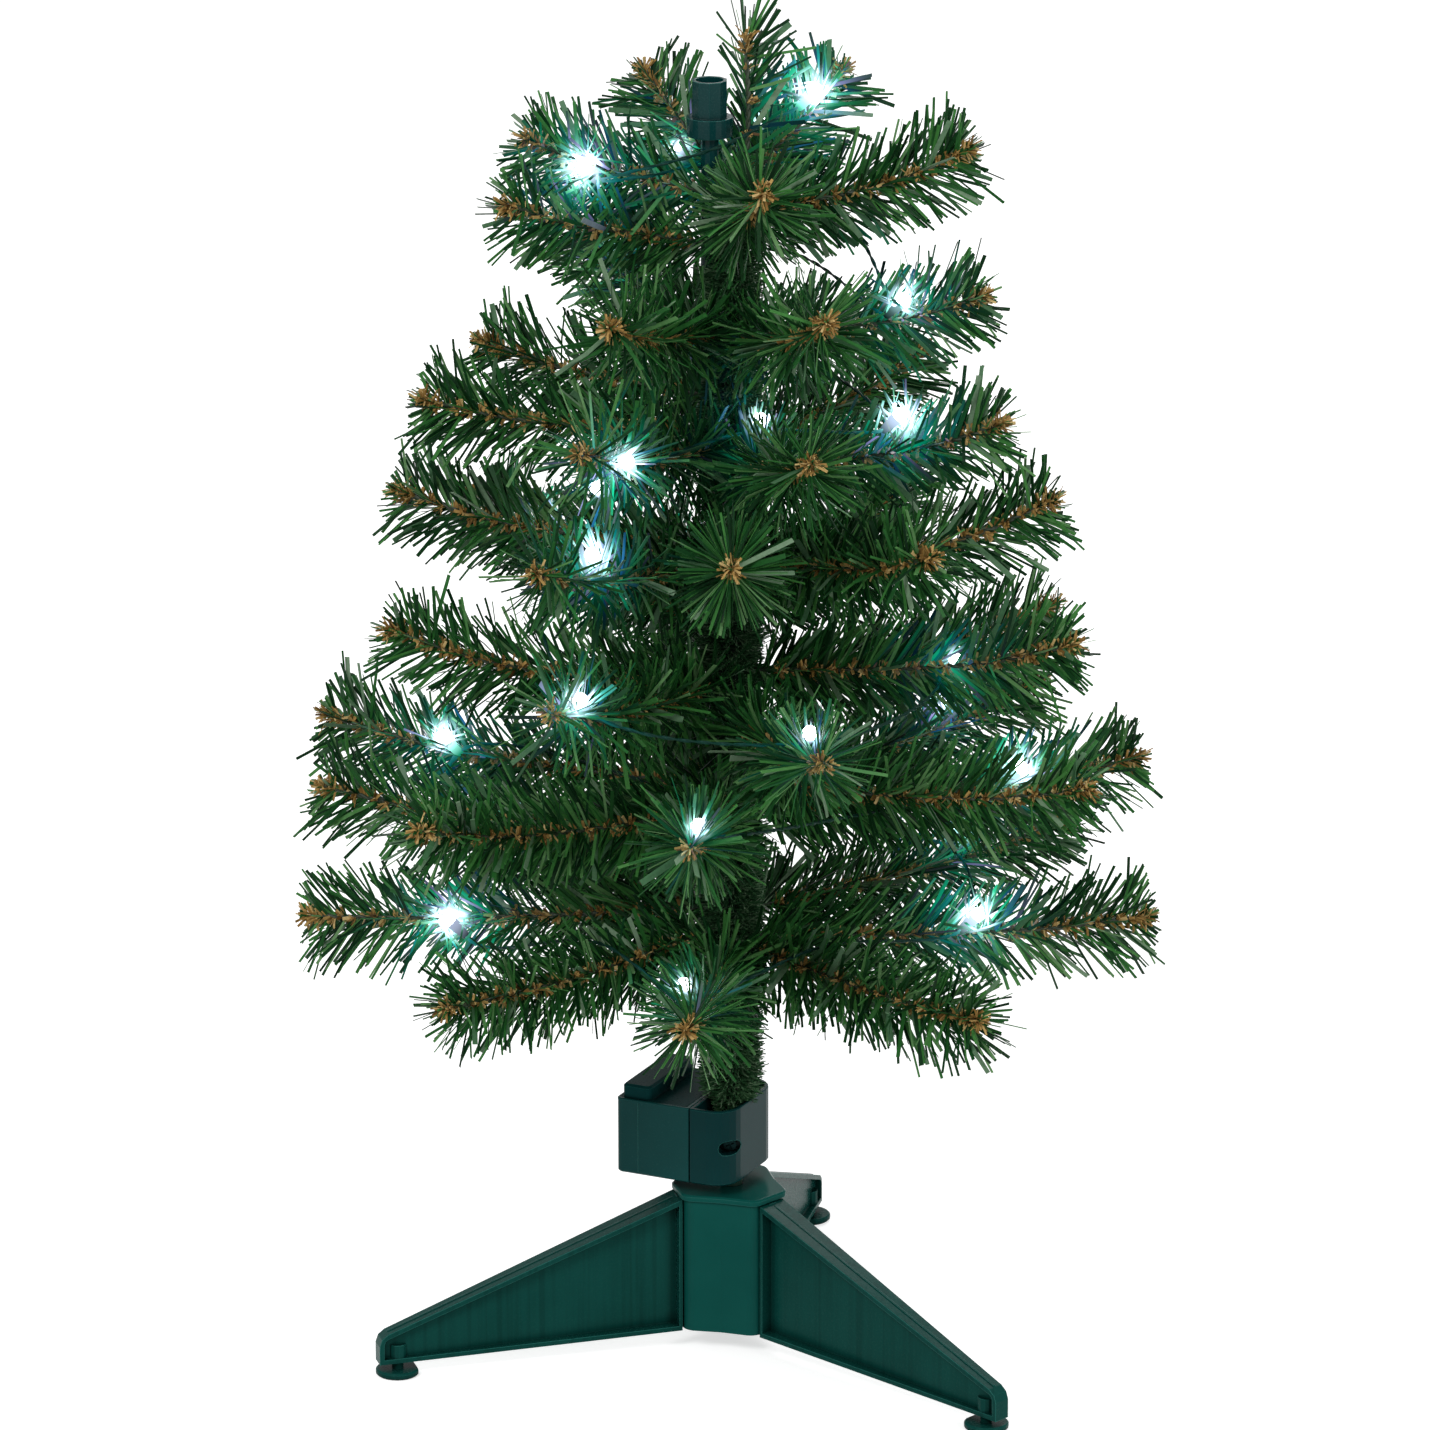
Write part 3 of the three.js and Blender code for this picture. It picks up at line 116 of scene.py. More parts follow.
def floor():
    """A plain pale floor, a hair under the feet, with added light where it shows."""
    mesh = bpy.data.meshes.new("floor")
    half = 6
    corners = [(-half, -half, 0), (half, -half, 0), (half, half, 0), (-half, half, 0)]
    mesh.from_pydata(corners, [], [(0, 1, 2, 3)])
    ground = bpy.data.objects.new("floor", mesh)
    ground.location.z = -0.0002
    bpy.context.collection.objects.link(ground)
    material = bpy.data.materials.new("floor")
    tree = node_tree(material)
    out = tree.nodes.new("ShaderNodeOutputMaterial")
    matte = tree.nodes.new("ShaderNodeBsdfDiffuse")
    matte.inputs["Color"].default_value = (0.86, 0.86, 0.86, 1)
    glow = tree.nodes.new("ShaderNodeEmission")
    glow.inputs["Color"].default_value = (1, 1, 1, 1)
    glow.inputs["Strength"].default_value = 0.62
    total = tree.nodes.new("ShaderNodeAddShader")
    mix = tree.nodes.new("ShaderNodeMixShader")
    tree.links.new(matte.outputs[0], total.inputs[0])
    tree.links.new(glow.outputs[0], total.inputs[1])
    tree.links.new(shown_white(tree), mix.inputs[0])
    tree.links.new(matte.outputs[0], mix.inputs[1])
    tree.links.new(total.outputs[0], mix.inputs[2])
    tree.links.new(mix.outputs[0], out.inputs["Surface"])
    mesh.materials.append(material)


floor()


# Materials
def shader(name, color, rough, metal=0.0, **extra):
    """A principled material, with its node tree and shader returned for more detail."""
    material = bpy.data.materials.new(name)
    tree = node_tree(material)
    out = tree.nodes.new("ShaderNodeOutputMaterial")
    bsdf = tree.nodes.new("ShaderNodeBsdfPrincipled")
    bsdf.inputs["Base Color"].default_value = (*color, 1)
    bsdf.inputs["Roughness"].default_value = rough
    bsdf.inputs["Metallic"].default_value = metal
    for key, value in extra.items():
        bsdf.inputs[key.replace("_", " ")].default_value = value
    tree.links.new(bsdf.outputs[0], out.inputs["Surface"])
    return material, tree, bsdf


def noise(tree, scale, detail=3, stretch=(1, 1, 1)):
    """Noise fixed to the object, with scale in waves per metre."""
    place = tree.nodes.new("ShaderNodeTexCoord")
    shape = tree.nodes.new("ShaderNodeMapping")
    shape.inputs["Scale"].default_value = stretch
    tree.links.new(place.outputs["Object"], shape.inputs["Vector"])
    texture = tree.nodes.new("ShaderNodeTexNoise")
    texture.inputs["Scale"].default_value = scale
    texture.inputs["Detail"].default_value = detail
    tree.links.new(shape.outputs[0], texture.inputs["Vector"])
    return texture.outputs["Fac"]


def ramp(tree, source, stops):
    """Colours looked up from a value; stops are pairs of a place and a colour."""
    node = tree.nodes.new("ShaderNodeValToRGB")
    while len(node.color_ramp.elements) < len(stops):
        node.color_ramp.elements.new(0.5)
    for element, (place, color) in zip(node.color_ramp.elements, stops):
        element.position = place
        element.color = (*color, 1) if len(color) == 3 else color
    tree.links.new(source, node.inputs[0])
    return node.outputs[0]


def grey(v):
    return (v, v, v)


def bump(tree, bsdf, source, strength, distance, normal=None):
    node = tree.nodes.new("ShaderNodeBump")
    node.inputs["Strength"].default_value = strength
    node.inputs["Distance"].default_value = distance
    tree.links.new(source, node.inputs["Height"])
    if normal:
        tree.links.new(normal, node.inputs["Normal"])
    tree.links.new(node.outputs[0], bsdf.inputs["Normal"])


def blended(tree, kind, share, first, second):
    """Two colours mixed; the share and the second may each be a value or a socket."""
    node = tree.nodes.new("ShaderNodeMix")
    node.data_type = "RGBA"
    node.blend_type = kind
    tree.links.new(first, node.inputs[6])
    for slot, source in ((0, share), (7, second)):
        if isinstance(source, bpy.types.NodeSocket):
            tree.links.new(source, node.inputs[slot])
        else:
            node.inputs[slot].default_value = source
    return node.outputs[2]


EDGE_RADIUS = 0.0006
# Colour of the painted highlight along outer edges
EDGE_HIGHLIGHT_COLOR = (0.05, 0.27, 0.23, 1)
# How far the painted shade in corners reaches
CORNER_REACH = 0.007
CORNER_SAMPLES = 10


def moulded(name, dark, light, rough, lines=0.0, gloss=0.07):
    """Satin moulded plastic: slow flow marks, fine grain, a painted highlight on outer edges, painted shade
    in corners and faint tool lines.
    """
    material, tree, bsdf = shader(name, light, rough, IOR=1.5, Specular_IOR_Level=gloss)
    color = ramp(tree, noise(tree, 26, 4), [(0.3, dark), (0.7, light)])
    fine = noise(tree, 900, 2)
    if lines:
        upright = ramp(tree, noise(tree, 260, 4, (1, 1, 0.02)),
                       [(0.36, grey(1 - lines)), (0.5, grey(1.0)), (0.66, grey(1 - lines / 2))])
        color = blended(tree, "MULTIPLY", 1, color, upright)
    # Painted shade: the colour is darkened in corners, creases and recesses, where the occlusion finds other
    # surfaces close by
    corner = tree.nodes.new("ShaderNodeAmbientOcclusion")
    corner.samples = CORNER_SAMPLES
    corner.inputs["Distance"].default_value = CORNER_REACH
    corner_shade = ramp(tree, corner.outputs["AO"], [(0.3, grey(0.3)), (0.85, grey(1.0))])
    color = blended(tree, "MULTIPLY", 1, color, corner_shade)
    rounded = tree.nodes.new("ShaderNodeBevel")
    rounded.samples = CORNER_SAMPLES
    rounded.inputs["Radius"].default_value = EDGE_RADIUS
    # Painted highlight: where the rounded edge turns away from the flat face the colour is made paler, but
    # not inside a corner
    flat = tree.nodes.new("ShaderNodeNewGeometry")
    turned = tree.nodes.new("ShaderNodeVectorMath")
    turned.operation = "DOT_PRODUCT"
    tree.links.new(rounded.outputs[0], turned.inputs[0])
    tree.links.new(flat.outputs["Normal"], turned.inputs[1])
    edge_highlight = ramp(tree, turned.outputs["Value"], [(0.8, grey(0.7)), (0.98, grey(0.0))])
    outside_corner = ramp(tree, corner.outputs["AO"], [(0.6, grey(0.0)), (0.95, grey(1.0))])
    edge_highlight = blended(tree, "MULTIPLY", 1, edge_highlight, outside_corner)
    color = blended(tree, "MIX", edge_highlight, color, EDGE_HIGHLIGHT_COLOR)
    tree.links.new(color, bsdf.inputs["Base Color"])
    roughness = ramp(tree, fine, [(0.3, grey(rough - 0.05)), (0.7, grey(rough + 0.07))])
    tree.links.new(roughness, bsdf.inputs["Roughness"])
    bump(tree, bsdf, fine, 0.06, 0.0002, rounded.outputs[0])
    return material


def metal_finish(name, color, rough):
    """Brushed metal."""
    material, tree, bsdf = shader(name, color, rough, 1.0)
    lines = noise(tree, 220, 3, (1, 1, 30))
    roughness = ramp(tree, lines, [(0.3, grey(rough - 0.08)), (0.7, grey(rough + 0.12))])
    tree.links.new(roughness, bsdf.inputs["Roughness"])
    bump(tree, bsdf, lines, 0.1, 0.0001)
    return material


leg_plastic = moulded("leg_plastic", (0.0035, 0.052, 0.043), (0.0055, 0.067, 0.056), 0.24, 0.2, gloss=0.03)
hub_plastic = moulded("hub_plastic", (0.003, 0.072, 0.06), (0.005, 0.086, 0.072), 0.2, gloss=0.035)
box_plastic = moulded("box_plastic", (0.003, 0.05, 0.048), (0.0045, 0.06, 0.058), 0.22)
cover_plastic = moulded("cover_plastic", (0.003, 0.036, 0.036), (0.0045, 0.045, 0.045), 0.3, gloss=0.012)
topper_plastic = moulded("topper_plastic", (0.0015, 0.032, 0.032), (0.003, 0.044, 0.043), 0.24, gloss=0.14)
clamp_plastic = moulded("clamp_plastic", (0.001, 0.028, 0.029), (0.002, 0.037, 0.038), 0.2, gloss=0.05)
pole_paint = moulded("pole_paint", (0.008, 0.035, 0.022), (0.014, 0.055, 0.034), 0.4, gloss=0.2)
screw_steel = metal_finish("screw_steel", (0.62, 0.63, 0.64), 0.3)
screw_black = metal_finish("screw_black", (0.004, 0.012, 0.012), 0.3)
cell_print = moulded("cell_print", (0.03, 0.033, 0.04), (0.05, 0.055, 0.065), 0.3, gloss=0.4)
board_lacquer = moulded("board_lacquer", (0.01, 0.12, 0.04), (0.02, 0.2, 0.07), 0.35, gloss=0.4)
knob_plastic = moulded("knob_plastic", grey(0.008), grey(0.014), 0.4, gloss=0.3)


def dress(material, *names):
    """Gives nodes of the part a material."""
    for name in names:
        node = nodes[name]
        node.data.materials.clear()
        node.data.materials.append(material)


legs = ("right", "rear", "left")
dress(hub_plastic, "stand_hub")
dress(leg_plastic, *[f"leg_{leg}" for leg in legs], *[f"foot_{leg}" for leg in legs])
dress(box_plastic, "battery_housing", "bottom_cover")
dress(topper_plastic, "topper_socket")
dress(cover_plastic, "battery_cover")
dress(clamp_plastic, "pole_clamp")
dress(pole_paint, "pole")
dress(screw_steel, "cover_screw_1", "cover_screw_2", "switch_body", "contact_front", "contact_rear")
dress(screw_black, "clamp_screw")
dress(cell_print, "cell_1", "cell_2", "cell_3")
dress(board_lacquer, "circuit_board")
dress(knob_plastic, "switch_knob")

# The tree's own sizes in millimetres, as in its solids
TREE_HEIGHT = 610
FOLIAGE_RADIUS = 190
TOPPER_X = -9.15
TOPPER_BOTTOM = 495
GARLAND_BOTTOM = 106.5
GARLAND_TOP = 538
TIER_SPLIT_SHARES = (0.348, 0.45, 0.627)
STEM_ROOT_RADIUS = 9
STEM_DIP = 3
TOPPER_SIDE = 112

# Branches as rows of: tier, azimuth in degrees, reach as a share of the foliage's radius, and the heights
# of the root and of the tip as shares of the tree's height
BRANCHES = [
    (1, 3, 0.99, 0.312, 0.321), (1, -48, 0.85, 0.31, 0.314), (1, 178, 1, 0.334, 0.323),
    (1, -135, 0.925, 0.32, 0.326), (1, -98, 0.745, 0.3, 0.318), (1, 31, 0.95, 0.33, 0.352),
    (1, 92, 0.88, 0.315, 0.322), (1, 136, 0.93, 0.325, 0.345),
    (2, 4.5, 0.965, 0.41, 0.44), (2, -27, 0.92, 0.43, 0.464), (2, 170.5, 0.97, 0.425, 0.464),
    (2, -173.7, 0.962, 0.392, 0.436), (2, -141, 0.92, 0.41, 0.449), (2, -96, 0.875, 0.425, 0.466),
    (2, 37, 0.93, 0.42, 0.452), (2, 104, 0.9, 0.4, 0.44),
    (3, 17, 0.8, 0.5, 0.54), (3, -20, 0.84, 0.515, 0.558), (3, -165, 0.815, 0.5, 0.562),
    (3, -119, 0.845, 0.505, 0.55), (3, -76, 0.867, 0.48, 0.524), (3, 100, 0.83, 0.505, 0.545),
    (3, 56, 0.8, 0.555, 0.61), (3, 140, 0.8, 0.545, 0.6), (3, -8, 0.755, 0.58, 0.648),
    (3, 170.5, 0.797, 0.6, 0.635), (3, -52, 0.735, 0.6, 0.647), (3, -90, 0.763, 0.61, 0.656),
    (3, -125, 0.773, 0.595, 0.641),
    (4, -17, 0.655, 0.664, 0.711), (4, -171.6, 0.723, 0.69, 0.722), (4, -119.5, 0.696, 0.68, 0.724),
    (4, -75, 0.708, 0.67, 0.724), (4, 96, 0.69, 0.665, 0.71), (4, 165, 0.61, 0.715, 0.744),
    (4, 40, 0.6, 0.675, 0.72), (4, 128, 0.6, 0.76, 0.8), (4, -10.2, 0.594, 0.76, 0.797),
    (4, -116.7, 0.618, 0.765, 0.809), (4, -70.3, 0.643, 0.76, 0.817), (4, -157.8, 0.557, 0.83, 0.871),
    (4, -81.5, 0.506, 0.845, 0.9), (4, -13.5, 0.562, 0.85, 0.904), (4, -165, 0.49, 0.865, 0.912),
    (4, 78, 0.47, 0.84, 0.89), (4, 151.6, 0.24, 0.873, 0.945), (4, 26, 0.3, 0.868, 0.944),
]

# Route of the light string as x, y, z and a number: 0 is a point of the wire alone, 1 a lamp that the film
# hides, and 2 to 4 a lamp that shows, from a small to a large one
WIRE = [
    (-8.4, 8.2, 108, 0), (-1, 12, 108.5, 0), (3, 15.5, 122, 0), (-62, 34, 186, 0), (-91.5, 88.5, 211, 1),
    (96.6, 58, 212.8, 1), (101.8, -0.9, 193.3, 4), (40, -44, 200, 0), (-18.7, -81.4, 190.8, 2),
    (-57, -60, 207, 0), (-117.6, -3.8, 192, 4), (-120, 13.3, 270.9, 3), (-24, -16, 262, 0),
    (-13.2, -159.2, 288.2, 2), (60, -34, 258, 0), (120.2, 3.8, 259.7, 4), (40, 16, 262, 0),
    (88, 66.3, 270.8, 1), (-19.5, 111, 328.5, 1), (-77.5, 65, 356.5, 1), (28, 50, 332, 0),
    (90.6, -26.2, 319, 2), (31.6, -130.4, 319.9, 2), (-60.6, -120.9, 331.3, 3), (-80, -84, 372, 0),
    (-55, -73.6, 381.1, 4), (-53, -85.2, 414.5, 2), (-41, -84.9, 425.4, 3), (10.2, -29.6, 428.9, 1),
    (66.2, -20, 427.3, 4), (30, 50, 440, 0), (-9, 86, 426.5, 1), (-45.5, 58.5, 483, 1), (26, 34, 492, 0),
    (67.2, -17.4, 477.6, 3), (48, 34, 512, 0), (12, 55.5, 536, 1), (-16.6, 3.6, 538.7, 2),
    (-34, -27, 541, 0), (-56.7, -22.5, 537.5, 4), (-8, -30, 553, 0), (29.6, 9.9, 562.6, 4),
]


def catmull(points, per):
    """A smooth curve through the points, with that many steps between each two."""
    p = np.array(points, float)
    p = np.vstack([2 * p[0] - p[1], p, 2 * p[-1] - p[-2]])
    out = []
    for i in range(1, len(p) - 2):
        p0, p1, p2, p3 = p[i - 1:i + 3]
        pairs = ((p0, p1), (p1, p2), (p2, p3))
        t0, t1, t2 = (max(np.linalg.norm(b - a), 1e-6) ** 0.5 for a, b in pairs)
        m1 = t1 * ((p1 - p0) / t0 - (p2 - p0) / (t0 + t1) + (p2 - p1) / t1)
        m2 = t1 * ((p2 - p1) / t1 - (p3 - p1) / (t1 + t2) + (p3 - p2) / t2)
        for k in range(per):
            t = k / per
            out.append((2 * t**3 - 3 * t**2 + 1) * p1 + (t**3 - 2 * t**2 + t) * m1
                       + (3 * t**2 - 2 * t**3) * p2 + (t**3 - t**2) * m2)
    out.append(p[-2])
    return np.array(out)


def stem_points(azimuth, reach_share, root_share, tip_share):
    """A branch's stem: it dips a little on its way out, and starts beside the topper socket, not under it."""
    reach = FOLIAGE_RADIUS * reach_share - 3
    solid_reach = FOLIAGE_RADIUS * reach_share - 10
    root = TREE_HEIGHT * root_share
    tip = TREE_HEIGHT * tip_share
    beside = root > TOPPER_BOTTOM - 2.1 and abs(azimuth) > TOPPER_SIDE
    root_azimuth = math.copysign(TOPPER_SIDE, azimuth) if beside else azimuth
    dip = STEM_DIP * solid_reach / FOLIAGE_RADIUS

    def at(degrees, radius, z):
        angle = math.radians(degrees)
        return (radius * math.cos(angle), radius * math.sin(angle), z)

    return catmull([
        at(root_azimuth, STEM_ROOT_RADIUS, root),
        at(azimuth, solid_reach * 0.42, root + (tip - root) * 0.3 - dip),
        at(azimuth, solid_reach * 0.78, root + (tip - root) * 0.62 - dip),
        at(azimuth, reach, tip),
    ], 10)


LEADER = catmull([(6, 0, 524), (7.5, 0, 567), (6, 0, 594)], 10)

# Each lamp points up and away from the pole, and its bulb's middle stands off the wire
LAMPS = np.array([w[:3] for w in WIRE if w[3]], float)
SHOWN = [w[3] for w in WIRE if w[3]]
LAMP_WAYS = np.array([(x, y, math.hypot(x, y)) for x, y, z in LAMPS])
LAMP_WAYS /= np.linalg.norm(LAMP_WAYS, axis=1)[:, None]
BULB_STAND_OFF = 9.6
BULBS = LAMPS + LAMP_WAYS * BULB_STAND_OFF
TO_CAMERA = np.array([0, -math.cos(CAMERA_TILT), math.sin(CAMERA_TILT)])


# Mesh helpers, in millimetres
def new_object(name, verts, faces, material, smooth=False):
    """A piece of the tree from points in millimetres."""
    mesh = bpy.data.meshes.new(name)
    mesh.from_pydata((np.asarray(verts) * MM).tolist(), [], faces)
    mesh.materials.append(material)
    if smooth:
        mesh.polygons.foreach_set("use_smooth", [True] * len(mesh.polygons))
    mesh.update()
    piece = bpy.data.objects.new(name, mesh)
    bpy.context.collection.objects.link(piece)
    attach(piece, "tree")
    return piece


def along(points, length):
    """Places and tangents at arc lengths along a polyline."""
    steps = np.linalg.norm(np.diff(points, axis=0), axis=1)
    far = np.concatenate([[0], np.cumsum(steps)])
    place = np.stack([np.interp(length, far, points[:, k]) for k in range(3)], 1)
    index = np.clip(np.searchsorted(far, length) - 1, 0, len(steps) - 1)
    tangent = np.diff(points, axis=0)[index]
    return place, tangent / np.linalg.norm(tangent, axis=1)[:, None]


def total_length(points):
    return float(np.linalg.norm(np.diff(points, axis=0), axis=1).sum())


def unit(v):
    return v / np.maximum(np.linalg.norm(v, axis=1), 1e-9)[:, None]


def frames(tangent):
    """Two directions across each tangent."""
    up = np.tile([0.0, 0.0, 1.0], (len(tangent), 1))
    up[np.abs(tangent[:, 2]) > 0.9] = (1.0, 0.0, 0.0)
    a = unit(np.cross(tangent, up))
    return a, np.cross(tangent, a)


def strips(root, way, length, width, thick, twist, bend, rings=3):
    """Closed flat strips: root and way are N by 3, the rest N values. Each bends to its own flat side."""
    a, b = frames(way)
    flat = a * np.cos(twist)[:, None] + b * np.sin(twist)[:, None]
    side = np.cross(way, flat)
    verts = []
    for share in np.linspace(0, 1, rings):
        wide = 0.8 + 0.4 * share - 0.3 * share**2
        middle = root + way * (length * share)[:, None] + flat * (bend * length * share**2)[:, None]
        for s, f in ((-1, -1), (1, -1), (1, 1), (-1, 1)):
            corner = side * (s * wide * width / 2)[:, None] + flat * (f * thick / 2)[:, None]
            verts.append(middle + corner)
    verts = np.stack(verts, 1)
    last = 4 * (rings - 1)
    pattern = [(3, 2, 1, 0), (last, last + 1, last + 2, last + 3)]
    for ring in range(0, last, 4):
        for k in range(4):
            n = (k + 1) % 4
            pattern.append((ring + k, ring + n, ring + 4 + n, ring + 4 + k))
    starts = (np.arange(len(root)) * (last + 4))[:, None, None]
    faces = (np.array(pattern)[None] + starts).reshape(-1, 4)
    return verts.reshape(-1, 3), faces.tolist()


def tube(points, radius, sides):
    """A closed round tube along points."""
    tangent = unit(np.gradient(points, axis=0))
    a = frames(tangent[:1])[0][0]
    verts = []
    for p, t in zip(points, tangent):
        a = a - t * a.dot(t)
        a /= np.linalg.norm(a)
        b = np.cross(t, a)
        for k in range(sides):
            angle = 2 * math.pi * k / sides
            verts.append(p + radius * (math.cos(angle) * a + math.sin(angle) * b))
    faces = []
    for i in range(len(points) - 1):
        for k in range(sides):
            n = (k + 1) % sides
            faces.append((i * sides + k, i * sides + n, (i + 1) * sides + n, (i + 1) * sides + k))
    faces.append(tuple(reversed(range(sides))))
    faces.append(tuple((len(points) - 1) * sides + k for k in range(sides)))
    return np.array(verts), faces


def twisted_pair(points, step, pitch, offset, radius):
    """Two wires twisted about each other along points, as two tubes."""
    reach = total_length(points)
    far = np.linspace(0, reach, int(reach / step))
    middle, tangent = along(points, far)
    a, b = frames(tangent)
    pair = []
    for turn in (0, math.pi):
        phi = far * 2 * math.pi / pitch + turn
        across = a * np.cos(phi)[:, None] + b * np.sin(phi)[:, None]
        pair.append(tube(middle + across * offset, radius, 6))
    return pair


def lathe(profile, place, way, sides=20):
    """A closed solid turned about a direction, from radii and heights that start and end on the axis."""
    way = np.array(way, float)
    a, b = (v[0] for v in frames(way[None]))
    verts = [place + way * profile[0][1]]
    rings = profile[1:-1]
    for radius, height in rings:
        for k in range(sides):
            angle = 2 * math.pi * k / sides
            across = math.cos(angle) * a + math.sin(angle) * b
            verts.append(place + way * height + radius * across)
    verts.append(place + way * profile[-1][1])
    faces = []
    last = len(verts) - 1
    for k in range(sides):
        n = (k + 1) % sides
        faces.append((0, 1 + n, 1 + k))
        top = 1 + (len(rings) - 1) * sides
        faces.append((last, top + k, top + n))
        for i in range(len(rings) - 1):
            r0, r1 = 1 + i * sides, 1 + (i + 1) * sides
            faces.append((r0 + k, r0 + n, r1 + n, r1 + k))
    return np.array(verts), faces


def merge(parts):
    """Pairs of points and faces, joined into one pair."""
    verts, faces, start = [], [], 0
    for v, f in parts:
        verts.append(v)
        faces.extend([tuple(i + start for i in face) for face in f])
        start += len(v)
    return np.vstack(verts), faces


# Needles
def lit_by_lamps(material, strength):
    """Adds the lamps' light that lamp_light stores on a piece."""
    tree = material.node_tree
    lit = tree.nodes.new("ShaderNodeAttribute")
    lit.attribute_name = "lamp_light"
    bsdf = tree.nodes["Principled BSDF"]
    tree.links.new(lit.outputs["Color"], bsdf.inputs["Emission Color"])
    bsdf.inputs["Emission Strength"].default_value = strength


def film(name, stops, rough):
    """Flat film: each strip has its own tone, with fine specks, and lamp light where a lamp is near."""
    material, tree, bsdf = shader(name, (0.02, 0.1, 0.03), rough, IOR=1.45, Specular_IOR_Level=0.12)
    island = tree.nodes.new("ShaderNodeNewGeometry")
    tone = ramp(tree, island.outputs["Random Per Island"], stops)
    speck = noise(tree, 700, 2)
    shade = ramp(tree, speck, [(0.3, grey(0.78)), (0.7, grey(1.0))])
    tree.links.new(blended(tree, "MULTIPLY", 1, tone, shade), bsdf.inputs["Base Color"])
    lit_by_lamps(material, 1)
    return material


needle_film = film("needle_film", [
    (0.0, (0.003, 0.026, 0.007)), (0.35, (0.009, 0.062, 0.015)), (0.65, (0.026, 0.145, 0.03)),
    (0.86, (0.068, 0.25, 0.056)), (1.0, (0.17, 0.34, 0.14))], 0.4)
pale_film = film("pale_film", [
    (0.0, (0.06, 0.17, 0.075)), (0.5, (0.12, 0.25, 0.13)), (1.0, (0.24, 0.36, 0.23))], 0.34)
tuft_film = film("tuft_film", [
    (0.0, (0.1, 0.055, 0.015)), (0.25, (0.32, 0.18, 0.05)), (0.7, (0.56, 0.35, 0.115)),
    (1.0, (0.78, 0.58, 0.26))], 0.5)
garland_film = film("garland_film", [
    (0.0, (0.012, 0.055, 0.018)), (0.5, (0.04, 0.135, 0.05)), (0.85, (0.12, 0.25, 0.12)),
    (1.0, (0.26, 0.38, 0.24))], 0.5)
stem_wire, wire_tree, wire_bsdf = shader("stem_wire", (0.02, 0.035, 0.016), 0.5)
bump(wire_tree, wire_bsdf, noise(wire_tree, 500, 2), 0.3, 0.0003)


# How the lamps light the film, in millimetres, and by how each lamp shows
LAMP_REACH = 44
CORE_RADIUS = 6.6
GLOW_RADIUS = 10.5
CARRY_RADIUS = 21.0
LAMP_SIZES = (0.8, 0.66, 0.95, 1.15)
SIGHT_RADII = (0, 1.7, 3.0, 3.9)


def lamp_light(piece, strip_sizes):
    """Stores how the lamps light each strip: white close by, then mint or teal, and some blue or lilac."""
    mesh = piece.data
    verts = np.empty(len(mesh.vertices) * 3)
    mesh.vertices.foreach_get("co", verts)
    verts = verts.reshape(-1, 3) / MM
    rng = np.random.default_rng(7)
    count = len(strip_sizes)
    which = np.repeat(np.arange(count), strip_sizes)
    strength = rng.uniform(0.1, 1.25, count) ** 1.6
    kind = rng.uniform(0, 1, count)
    hue = np.tile([0.0, 0.6, 0.32], (count, 1))
    hue[kind > 0.5] = (0.0, 0.5, 0.5)
    hue[kind > 0.74] = (0.02, 0.26, 0.66)
    hue[kind > 0.92] = (0.42, 0.4, 0.95)
    cast = np.where(rng.uniform(0, 1, count)[:, None] > 0.45, (2.7, 3.0, 4.2), (1.8, 3.3, 3.4))
    # Some strips carry the light a long way
    carry = np.where(rng.uniform(0, 1, count) > 0.86, 0.6, 0.1)
    color = np.zeros((len(verts), 4))
    color[:, 3] = 1
    for bulb, shown in zip(BULBS, SHOWN):
        far = np.linalg.norm(verts - bulb, axis=1)
        near = far < LAMP_REACH
        away, mine = far[near], which[near]
        size = LAMP_SIZES[shown - 1]
        bright = strength[mine][:, None]
        core = np.exp(-(away / (CORE_RADIUS * size)) ** 3)[:, None] * cast[mine] * (0.25 + bright)
        glow = 0.95 * np.exp(-(away / (GLOW_RADIUS * size)) ** 2)[:, None] * hue[mine]
        glow = glow + (carry[mine] * np.exp(-(away / CARRY_RADIUS) ** 2))[:, None] * hue[mine]
        color[near, :3] += core + size * bright * glow
    layer = mesh.color_attributes.new("lamp_light", "FLOAT_COLOR", "POINT")
    layer.data.foreach_set("color", color.ravel())


# How far the film keeps off the topper socket, the bulbs and the pole, and where it has finer steps
COLLAR_BOTTOM = 550
COLLAR_CLEARANCE = 11.0
SOCKET_STEM_CLEARANCE = 4.6
SOCKET_WAY_TOP = 612
BULB_CLEARANCE = 3.3
POLE_CLEARANCE = 5.2
FINE_STEPS_WITHIN = 15


def clear_of(root, tip, width):
    """Which strips keep off the topper socket, the bulbs and the line of sight to the bulbs that show."""
    keep = np.ones(len(root), bool)
    for share in np.linspace(0, 1, 9):
        p = root + (tip - root) * share
        off = np.hypot(p[:, 0] - TOPPER_X, p[:, 1])
        socket = np.where(p[:, 2] > COLLAR_BOTTOM, COLLAR_CLEARANCE, SOCKET_STEM_CLEARANCE) + width
        keep &= ~((off < socket) & (p[:, 2] > TOPPER_BOTTOM) & (p[:, 2] < SOCKET_WAY_TOP))
        for bulb, shown in zip(BULBS, SHOWN):
            rel = p - bulb
            keep &= np.linalg.norm(rel, axis=1) > BULB_CLEARANCE
            ahead = rel @ TO_CAMERA
            beside = np.linalg.norm(rel - ahead[:, None] * TO_CAMERA, axis=1)
            keep &= (beside > SIGHT_RADII[shown - 1]) | (ahead < 0)
        keep &= np.hypot(p[:, 0], p[:, 1]) > POLE_CLEARANCE
    return keep


